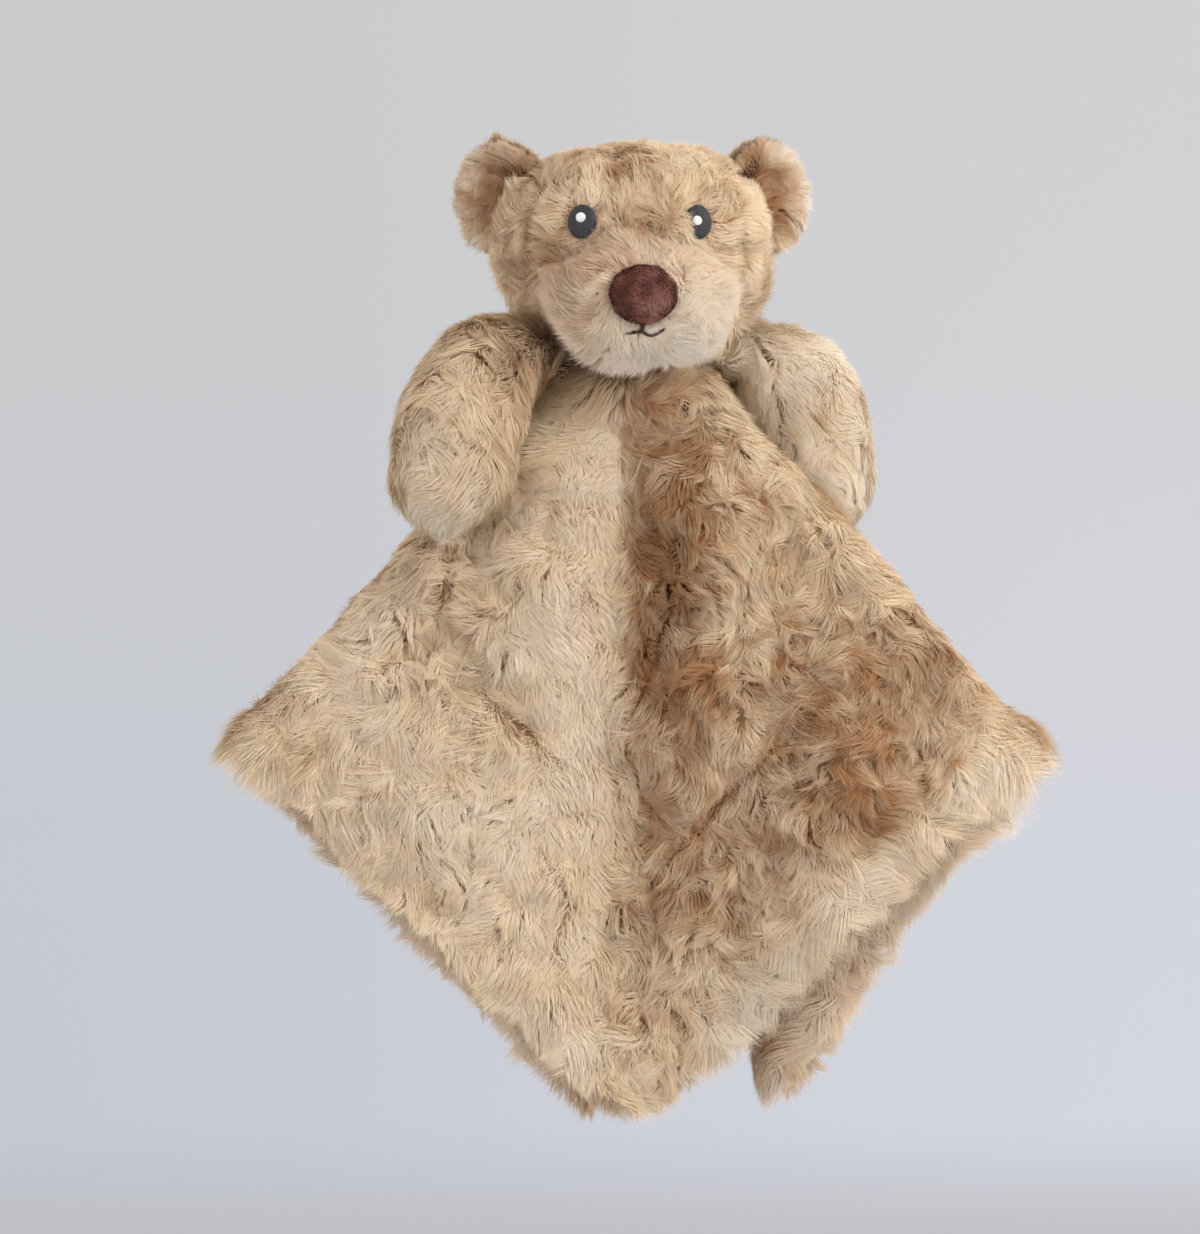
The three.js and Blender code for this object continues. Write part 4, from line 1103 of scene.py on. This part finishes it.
PLACE, SEG, SHARE, SIDE, RHO, TO_EDGE = blanket_grid()
OUTWARD = normals_of(PLACE)
OUTWARD = OUTWARD * (1 if OUTWARD[len(OUTWARD) // 2, 3, 1] < 0 else -1)


def blanket_face(way):
    """One cloth of the blanket: the middle surface moved out, less at the sewn edge."""
    lift = mix(0.3, 2.0, np.sqrt(smooth(TO_EDGE, 0, 9)))
    return PLACE + way * OUTWARD * lift[..., None]


# Places where the pile of the front is warmer (above 0) or paler, and lies flatter (above 0) or more upright:
# middle in x and z, radii, tone, degrees. The tone is partly painted: the pale places left of the crease are
# painted light on its lit bank, the warmest ones right of it painted shade on its shaded bank; elsewhere a
# warmer tone is partly open pile showing its roots and partly painted shade, and a paler one partly painted
# light.
PATCHES = (
    (13, -118, 18, 42, 0.60, -10),
    (13, -182, 17, 52, 0.62, -10),
    (-16, -116, 11, 26, -0.28, 16),
    (-22, -160, 15, 26, -0.28, 16),
    (-20, -200, 19, 26, -0.28, 14),
    (-34, -240, 30, 34, -0.24, 8),
    (-96, -190, 26, 22, -0.28, 8),
    (-70, -222, 30, 20, -0.20, 8),
    (50, -94, 24, 18, -0.50, 12),
    (68, -120, 20, 16, -0.20, 8),
    (2, -82, 24, 8, 0.22, -6),
    (-44, -108, 9, 22, 0.30, -6),
    (84, -203, 34, 18, 0.34, -8),
    (76, -227, 30, 13, 0.62, -6),
    (86, -176, 30, 18, 0.44, -4),
    (20, -236, 22, 14, 0.24, -8),
    (14, -262, 14, 10, 0.26, -8),
    (-110, -202, 12, 14, 0.40, -6),
    (-60, -154, 13, 22, 0.36, -6),
    (48, -158, 18, 28, 0.12, 4),
    (64, -200, 22, 18, 0.38, -6),
    (-58, -190, 20, 8, 0.22, -4),
    (6, -296, 34, 16, -0.20, 4),
    (112, -192, 14, 16, -0.25, 6),
)


# The smooth roll along the lower right edge, paler as a painted highlight; a strip beside each arm, the
# right one paler as painted light; the line of painted shadow in the notch of the tucked corner; the middle
# of each side corner's fan
ROLL = ((122, -211), (92, -234), (61, -261), (42, -286), (27, -302))
BY_RIGHT_ARM = ((30, -84), (58, -116), (80, -142))
BY_LEFT_ARM = ((-24, -80), (-38, -98))
NOTCH_SHADOW = ((62, -270), (34, -312))
FAN_MIDDLE = (119, -202)


def led(nap, way, share):
    """The nap, led towards a way as far as the share goes."""
    return unit(mix(nap, way, share[:, None]))


def comb_blanket(roots, normals, row, column):
    """Pile of the blanket: out from the neck, swirled, opened along the partings, smooth on the pale places
    and upright on the warm ones. Its tone paints light where it falls on the crease's left bank, the rim and
    the roll, and shade in the partings, on the crease's right bank and in the tucked corner's notch."""
    x, y, z = roots.T
    edge = at(TO_EDGE, row, column)
    front = smooth(-normals[:, 1], 0.2, 0.7) * (y < -8)
    crease = np.interp(z, *np.array(CREASE[::-1]).T[::-1])
    strip = front * smooth(x, crease - 42, crease - 16) * smooth(crease + 1 - x, 0, 3)
    nap = unit((roots - np.array([0, 0, BLANKET_TOP])) * np.array([0.7, 0.2, 1.0]))
    nap = led(nap, np.array([-0.28, 0, -1.0]), strip)
    lie, swirl, wild = 60.0 + 6 * strip, 52.0 * (1 - 0.75 * strip), 1 - 0.6 * strip
    tone = 0.21 + 0.10 * waves(roots, 30, 91) + 0.15 * waves(roots, 12, 92) + 0.06 * waves(roots, 5, 94)
    # Paler left of the crease: painted light where its left bank and smooth nap catch the light
    tone = tone - 0.42 * front * smooth(crease - x, -1, 1)
    for cx, cz, rx, rz, warmer, flatter in PATCHES:
        patch = np.exp(-((((x - cx) / rx) ** 2 + ((z - cz) / rz) ** 2) ** 1.5)) * front
        # The warmest places, painted shade on the crease's shaded right bank, stop at the crease
        if warmer > 0.45:
            patch = patch * smooth(x - crease, -1.5, 1.5)
        lie, tone = lie + flatter * patch, tone + warmer * patch
        if flatter > 6:
            swirl, wild = swirl * (1 - 0.5 * patch), wild * (1 - 0.35 * patch)
    for corners, strength in PARTINGS:
        gap, step_x, step_z = off_line(x, z, corners)
        near = bell(gap / 5.0) * front * strength
        slope = np.stack([step_x, 0 * x, step_z], -1) / np.maximum(gap, 0.5)[:, None]
        nap = nap * (1 - 0.5 * near)[:, None] + slope * (0.8 * near)[:, None]
        # Painted shade along the parting
        tone = tone + 0.35 * bell(gap / 2.6) * front * strength
        swirl = swirl * (1 - 0.6 * near)
    roll = line_bell(x, z, ROLL, 8.0) * smooth(-y, 3, 8)
    beside = line_bell(x, z, BY_RIGHT_ARM, 8.0) * (y < 0)
    by_arm = line_bell(x, z, BY_LEFT_ARM, 7.0) * (y < 0)
    ridge = smooth(1 - np.abs(normals[:, 1]), 0.25, 0.8)
    calm = smooth(14 - edge, 0, 12)
    rim = 1 - smooth(edge, 0, 12)
    neck = 1 - smooth(at(RHO, row, column), 18, 34)
    corner = bell((np.abs(x) - 126) / 13, (z + 203) / 15)
    hidden = smooth(y, -15, -11) * smooth(-normals[:, 1], 0, 0.4) * smooth(-z, 205, 225) * (x > 10)
    notch_shadow = smooth(-z, 268, 280) * line_bell(x, z, NOTCH_SHADOW, 9.0)
    nap = led(nap, np.array([0.8, 0, -0.6]), 0.9 * roll)
    nap = led(nap, np.array([0.9, 0, -0.3]), 0.8 * beside)
    nap = led(nap, np.array([-0.9, 0, -0.3]), 0.8 * by_arm)
    fan = unit(roots - np.stack([np.sign(x) * FAN_MIDDLE[0], 0.7 * y, np.full(len(x), FAN_MIDDLE[1])], -1))
    nap = led(nap, fan, 0.85 * corner)
    along = unit(np.stack([46 - x, 0 * x - 2, -318 - z], -1))
    nap = led(nap, along + 0.8 * fan, 0.9 * hidden * smooth(edge, 3, 10))
    for where, less_wild, less_swirl in (
        (roll, 0.8, 0.8),
        (beside, 0, 0.6),
        (ridge, 0.6, 0.55),
        (calm, 0.55, 0.4),
        (corner, 0.7, 0.8),
        (hidden, 0.7, 0.7),
    ):
        wild, swirl = wild * (1 - less_wild * where), swirl * (1 - less_swirl * where)
    # Painted light: the roll paler as a highlight where the rolled edge catches the light, and the strip
    # beside the right arm paler. The tucked face behind the front is paler, painted light against its shade,
    # and darker in the notch, painted shadow.
    tone = mix(tone - 0.85 * roll - 0.3 * beside, 1.3 * notch_shadow - 0.6, hidden)
    length = 9.4 + 0.8 * waves(roots, 25, 93) + 0.8 * rim + 1.5 * neck + 7.5 * corner + 5.5 * roll
    return {
        "nap": nap,
        "lie": lie + 2 * rim - 14 * neck + 6 * ridge + 14 * roll + 6 * beside + 10 * corner,
        "length": length + 2.0 * hidden + 5.0 * beside + 5.0 * by_arm,
        "width": 0.22,
        # Paler at the rim, most to the right, a painted highlight where the edge catches the light; a little
        # warmer by the neck, painted shade under the head
        "tone": tone - (0.14 + 0.3 * smooth(x, 10, 40)) * rim + 0.05 * neck,
        "swirl": swirl,
        "gather": 0.14 * (1 - rim),
        "wild": wild,
        "lock": 7.5,
        "curl": 0.21,
        "fine": 3.2,
    }


def make_blanket():
    """Blanket: two square cloths, sewn round the edge, with the pile that shows on each side."""
    top, bottom = blanket_face(1), blanket_face(-1)
    upper = form("blanket_upper_cloth", top, OPEN_LAST, backing, "blanket", (), OUTWARD)
    under = form("blanket_under_cloth", bottom, OPEN_LAST, backing, "blanket", (),
                 -OUTWARD)
    more = 1 + 0.6 * (1 - smooth(TO_EDGE, 4, 22)) + (1 - smooth(RHO, 22, 42))
    front, behind = np.isin(SEG, (0, 1)) * more, np.isin(SEG, (5, 6)) * more
    low = smooth(-PLACE[..., 2], 170, 200)
    near = 1 - smooth(TO_EDGE, 2, 12)
    inside = np.isin(SEG, (2, 3, 4))
    seen_behind = (SEG == 2) * (1 - smooth(SHARE, 0.35, 0.6)) * smooth(RHO, 12, 30)
    tuck_front = (SIDE > 0) * (SEG == 2) * smooth(RHO, 130, 170)
    tuck = inside * np.maximum(near, 0.5 * seen_behind + 0.5 * tuck_front)
    parts = (
        ("blanket_front_pile_1", front * (SIDE < 0) * (1 - low), 77000, 101),
        ("blanket_front_pile_2", front * (SIDE < 0) * low, 73000, 102),
        ("blanket_front_pile_3", front * (SIDE > 0) * (1 - low), 76000, 103),
        ("blanket_front_pile_4", front * (SIDE > 0) * low, 80000, 104),
        ("blanket_back_pile_1", behind * (SIDE < 0), 40000, 105),
        ("blanket_back_pile_2", behind * (SIDE > 0), 40000, 106),
        ("blanket_tuck_pile", tuck, 74000, 107),
    )
    made = [
        pile(name, top, OUTWARD, weight, count, comb_blanket, seed, plush, "blanket", "plush",
             ["blanket_upper_panel"])
        for name, weight, count, seed in parts
    ]
    shows = near + 0.45 * inside * (SIDE > 0) * smooth(RHO, 120, 175)
    lower = pile("blanket_under_pile", bottom, -OUTWARD, shows, 74000, comb_blanket, 108, under_plush,
                 "blanket", "plush_underside", ["blanket_under_panel"])


# Threads
def tube(name, path, radius, sides, closed, material, body, stands_for=()):
    """A thread: circles across a path, with a UV map that runs along it and round it."""
    if closed:
        way = unit(np.roll(path, -1, 0) - np.roll(path, 1, 0))
        swell = np.full(len(path), radius)
    else:
        way = unit(np.gradient(path, axis=0))
        swell = radius * np.sqrt(np.clip(1 - np.abs(np.linspace(-1, 1, len(path))) ** 12, 0.02, 1))
    guide = np.where(np.abs(way[:, 2:]) > 0.9, np.array([[1.0, 0, 0]]), np.array([[0, 0, 1.0]]))
    across = unit(np.cross(way, guide))
    over = np.cross(way, across)
    turn = np.linspace(0, 2 * math.pi, sides + 1)
    ring = swung(across[:, None], over[:, None], turn[None])
    place = path[:, None] + swell[:, None, None] * ring
    if closed:
        place = np.concatenate([place, place[:1]])
    points, triangles = grid_mesh(place, not closed, not closed)
    mesh = mesh_of(name, points, facing_out(points, triangles))
    lengths = np.concatenate([[0], np.cumsum(length_of(np.diff(place[:, 0], axis=0))[:, 0])])
    along, around = np.repeat(lengths / lengths[-1], sides), np.tile(np.arange(sides) / sides, len(place))
    spots = np.stack([along, around], -1)
    spots = np.vstack([spots, np.zeros((len(points) - len(spots), 2))])
    loops = np.zeros(len(mesh.loops), np.int32)
    mesh.loops.foreach_get("vertex_index", loops)
    uv = spots[loops].reshape(-1, 3, 2)
    uv[..., 1] += uv[..., 1].max(1, keepdims=True) - uv[..., 1] > 0.5
    mesh.uv_layers.new(name="thread").data.foreach_set("uv", uv.astype(np.float32).ravel())
    return piece(name, mesh, material, body, stands_for)


def make_threads():
    """The thread that closes the blanket's edge, a hair's breadth outside the two cloths' rims."""
    rim = PLACE[-1, :-1]
    outward = unit(rim - PLACE[-3, :-1])
    tube("blanket_edge_thread", rim + 0.7 * outward, 0.45, 6, True, seam_thread, "blanket",
         ["blanket_edge_seam"])
    turn = np.linspace(0, 2 * math.pi, 240, endpoint=False)
    wound = 15.3 + 0.7 * np.cos(24 * turn)
    path = np.stack([wound * np.cos(turn), wound * np.sin(turn), -74.75 + 0.5 * np.sin(24 * turn)], -1)
    tube("neck_stitch_thread", path, 0.45, 6, True, seam_thread, "neck_seam",
         ["neck_stitching"])


def make_neck():
    """The gathered neck: a ring of pleats between the head's base and the blanket."""
    height, turn = once_round(np.linspace(0, 1, 14), 241)
    waist = 2 * np.sin(math.pi * height)
    radius = 15.6 - waist + 0.8 * np.sin(22 * turn) * (0.5 + 0.5 * np.abs(2 * height - 1))
    z = mix(-73.7, -67.4, height)
    place = np.stack([radius * np.cos(turn), radius * np.sin(turn), z], -1)
    neck = form("neck_gather_cloth", place, CLOSED, backing, "neck", ["neck_gather"])


# Face details
def make_nose():
    """Nose: a padded velour oval with a short nap of its own."""
    ways = ball_ways(64, 129, -1.54, 1.54)
    place = swollen(NOSE_RADII, NOSE_CENTRE, ways, 2.3, 2.0, 0)
    normal = unit((place - NOSE_CENTRE) / NOSE_RADII**2)
    place = place + normal * (0.25 * waves(place, 5, 121))[..., None]
    material = mottled_material("nose_velour", (0.175, 0.062, 0.046), (0.31, 0.12, 0.088), 700.0, 0.9, 0.5,
                                (0.25, 0.0003), sheen_tint=(0.75, 0.45, 0.4, 1))
    nose = form("nose_velour_form", on_head(place), CLOSED, material, "head", ["nose"])
    velour = pile_material("nose_velour_pile", (0.215, 0.075, 0.056), (0.265, 0.096, 0.070),
                           (0.35, 0.145, 0.11), (0.085, 0.026, 0.020), (0.36, 0.20, 0.17))

    def comb(roots, normals, row, column):
        rise = roots[:, 2] - NOSE_CENTRE[2]
        # A paler patch low on the right: a painted sheen on the velour
        painted_sheen = bell((roots[:, 0] - 3) / 5, (rise + 4) / 4)
        return {
            "nap": np.array([0.35, 0.0, -1.0]),
            "lie": 54.0,
            "length": 1.5,
            "width": 0.3,
            "tone": 0.2 + 0.25 * waves(roots, 7, 122) + 0.3 * smooth(rise, 2, 8) - 0.7 * painted_sheen,
            "swirl": 40.0,
            "gather": 0.3,
            "fine": 1.2,
        }

    front = (place[..., 1] < NOSE_CENTRE[1] + 2.5) * 1.0
    head_pile("nose_velour_nap", place, normal, front, 9000, comb, 123, velour, "head", "nose_velour", (),
              NOSE_SINK)


def face_front(x, z):
    """The point of the head's surface in front of x and z, and the way that it faces."""

    def depth(px, pz):
        up = (pz - HEAD_CENTRE[2]) / HEAD_RADII[2]
        power = np.where(up > 0, CROWN_POWER, CHEEK_POWER)
        taper = 1 - CHEEK_TAPER * smooth(-up, 0, 1)
        side = np.abs(px / (HEAD_RADII[0] * taper))
        return -HEAD_RADII[1] * np.maximum(0, 1 - side**power - np.abs(up) ** power) ** (1 / power)

    point = np.array([x, float(depth(x, z)), z])
    slope_x = float(depth(x + 0.3, z) - depth(x - 0.3, z)) / 0.6
    slope_z = float(depth(x, z + 0.3) - depth(x, z - 0.3)) / 0.6
    return point, unit(np.array([slope_x, -1.0, slope_z]))


SATIN_ROWS = 40
SATIN_COLUMNS = 121


def satin(name, middle, facing, radii, dome, stitches, slant, material, stands_for):
    """A satin-stitched oval: a low dome whose height has a rounded ridge for each stitch, closed behind."""
    share, turn = once_round(np.linspace(0.03, 1, SATIN_ROWS), SATIN_COLUMNS)
    share = np.sin(share * math.pi / 2)
    x, z = radii[0] * share * np.cos(turn), radii[1] * share * np.sin(turn)
    across = x * math.cos(slant) + z * math.sin(slant)
    ridge = 0.16 * np.abs(np.sin(math.pi * across * stitches / (2 * max(radii))))
    height = dome * np.sqrt(np.maximum(0, 1 - share**2)) + ridge * smooth(1 - share, 0, 0.2)
    left = unit(np.cross(facing, np.array([0, 0, 1.0])))
    up = np.cross(left, facing)
    place = middle + x[..., None] * left + z[..., None] * up + height[..., None] * facing
    points, triangles = grid_mesh(on_head(place), True, False)
    ring = np.arange(SATIN_COLUMNS - 1)
    rim = (SATIN_ROWS - 1) * len(ring)
    back = np.stack([np.full(len(ring), len(points)), rim + ring, rim + (ring + 1) % len(ring)], -1)
    points = np.vstack([points, on_head(middle - 1.5 * facing)])
    mesh = mesh_of(name, points, facing_out(points, np.vstack([triangles, back])))
    return piece(name, mesh, material, "head", stands_for)


def stitched(name, dark, light):
    """Embroidery thread: a fine mottle and bump, slightly glossy."""
    return mottled_material(name, dark, light, 1500.0, 0.5, 0.2, (0.4, 0.0002), specular=0.4)


def muzzle_front(x, z):
    """How far forward the muzzle's form stands at x and z."""
    off_x = np.abs(x / MUZZLE_RADII[0]) ** MUZZLE_POWER
    off_z = np.abs((z - MUZZLE_CENTRE[2]) / MUZZLE_RADII[2]) ** MUZZLE_POWER
    return MUZZLE_CENTRE[1] - MUZZLE_RADII[1] * np.maximum(0, 1 - off_x - off_z) ** (1 / MUZZLE_POWER)


def make_face():
    """Eyes with their glints, and the mouth's two stitches."""
    charcoal = stitched("eye_thread", (0.012, 0.012, 0.016), (0.05, 0.05, 0.06))
    white = stitched("glint_thread", (0.80, 0.81, 0.84), (0.95, 0.95, 0.96))
    for side, glint_x, glint_z in ((-1, -0.2, 1.3), (1, -0.6, 0.3)):
        word = SIDE_WORDS[side]
        point, facing = face_front(side * EYE_PLACE[0], EYE_PLACE[1])
        middle = point + 0.2 * facing
        satin(f"eye_satin_{word}", middle, facing, EYE_RADII, 1.1, 13, 0.5 * side, charcoal,
              [f"eye_{word}"])
        right = unit(np.cross(np.array([0, 0, 1.0]), facing))
        spot = middle + glint_x * right + np.array([0, 0, glint_z]) + 0.85 * facing
        satin(f"eye_glint_satin_{word}", spot, facing, GLINT_RADII, 0.7, 7, 0.9, white,
              [f"eye_glint_{word}"])
    x = np.linspace(-1, 1, 30)
    smile_x = np.where(x < 0, 6.2, 7.5) * x
    smile_z = -63.2 - np.where(x < 0, -0.9 * x, 1.7 * np.sin(math.pi * np.abs(x) ** 0.8) - 0.9 * x)
    smile = np.stack([smile_x, muzzle_front(smile_x, smile_z) - np.where(x < 0, -0.5, -0.7), smile_z], -1)
    tube("mouth_smile_thread", on_head(smile), 0.62, 8, False, mouth_thread, "head",
         ["mouth_stitch"])
    stem_z = np.linspace(-60.0, -63.2, 16)
    stem = np.stack([0 * stem_z, muzzle_front(0, stem_z) + 0.5, stem_z], -1)
    tube("mouth_stem_thread", on_head(stem), 0.6, 8, False, mouth_thread, "head")


# Stage
# The camera: its sensor in mm, and in metres its distance, the height that it sees and the middle of its view
SENSOR = 36.0
CAMERA_DISTANCE = 6.0
VIEW_HEIGHT = 1234 / 3 * MM
VIEW_MIDDLE = (-0.011, -0.1577)
LAMP_TARGET = Vector((0, 0, -0.17))
FLOOR_HALF = 7.0
FLOOR_LEVEL = -0.46


def staged(name, data):
    """An object of the stage."""
    made = bpy.data.objects.new(name, data)
    bpy.context.scene.collection.objects.link(made)
    return made


def make_floor():
    """A pale floor that fades out into the surround."""
    mesh = bpy.data.meshes.new("floor")
    corners = [(x * FLOOR_HALF, y * FLOOR_HALF, FLOOR_LEVEL) for x, y in ((-1, -1), (1, -1), (1, 1), (-1, 1))]
    mesh.from_pydata(corners, [], [(0, 1, 2, 3)])
    floor = staged("floor", mesh)
    material, tree, shader = principled("pale_floor", 0.8)
    shader.inputs["Base Color"].default_value = (0.62, 0.64, 0.68, 1)
    reach = node_of(tree, "VectorMath", object_place(tree), operation="LENGTH").outputs["Value"]
    clear = node_of(tree, "BsdfTransparent").outputs[0]
    faded = node_of(tree, "MixShader", ranged(tree, reach, 2.0, 5.0, 0, 1), shader.outputs[0], clear)
    tree.links.new(faded.outputs[0], tree.nodes["Material Output"].inputs[0])
    mesh.materials.append(material)


def make_surround():
    """A soft warm light all round, seen by the camera as a pale wall that shades from corner to corner."""
    world = bpy.data.worlds.new("surround")
    bpy.context.scene.world = world
    world.use_nodes = True
    tree = world.node_tree
    tree.nodes.clear()
    way = node_of(tree, "SeparateXYZ", node_of(tree, "TexCoord").outputs["Generated"]).outputs
    height, sideways = (ranged(tree, way[axis], -0.034, 0.034, 0, 1) for axis in (2, 0))
    low = colour_mix(tree, sideways, (0.560, 0.584, 0.645, 1), (0.665, 0.680, 0.750, 1))
    high = colour_mix(tree, sideways, (0.590, 0.596, 0.600, 1), (0.640, 0.640, 0.645, 1))
    lit = node_of(tree, "Background", (1.0, 0.985, 0.965, 1), 0.76).outputs[0]
    seen = node_of(tree, "Background", colour_mix(tree, height, low, high)).outputs[0]
    by_camera = node_of(tree, "LightPath").outputs["Is Camera Ray"]
    node_of(tree, "OutputWorld", node_of(tree, "MixShader", by_camera, lit, seen).outputs[0])


def make_lamp(name, place, size, power, colour):
    """A square lamp that looks at the toy."""
    lamp = bpy.data.lights.new(name, "AREA")
    lamp.size = size
    lamp.energy = power
    lamp.color = colour
    made = staged(name, lamp)
    made.location = place
    made.rotation_mode = "QUATERNION"
    made.rotation_quaternion = (LAMP_TARGET - Vector(place)).to_track_quat("-Z", "Y")


def make_stage():
    """The floor, the surround, three soft lamps and the camera."""
    make_floor()
    make_surround()
    make_lamp("key_lamp", (1.35, -1.1, 0.75), 1.1, 20, (1.0, 0.985, 0.96))
    make_lamp("fill_lamp", (-1.2, -1.3, 0.1), 1.2, 3.5, (1.0, 1.0, 1.0))
    make_lamp("back_lamp", (0.9, 1.4, 0.6), 1.0, 9, (1.0, 1.0, 1.0))
    camera = bpy.data.cameras.new("camera")
    camera.sensor_width = SENSOR
    camera.lens = SENSOR * CAMERA_DISTANCE / VIEW_HEIGHT
    view = staged("camera", camera)
    view.location = (VIEW_MIDDLE[0], -CAMERA_DISTANCE, VIEW_MIDDLE[1])
    view.rotation_euler = (math.pi / 2, 0, 0)
    bpy.context.scene.camera = view
    bpy.context.scene.view_settings.view_transform = "Standard"


make_stage()
make_head()
make_muzzle()
make_nose()
make_face()
make_ear(-1)
make_ear(1)
make_arm(-1)
make_arm(1)
make_neck()
make_blanket()
make_threads()
for word in SIDE_WORDS.values():
    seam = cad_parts[f"shoulder_seam_{word}"]
    seam.data.materials.clear()
    seam.data.materials.append(backing)
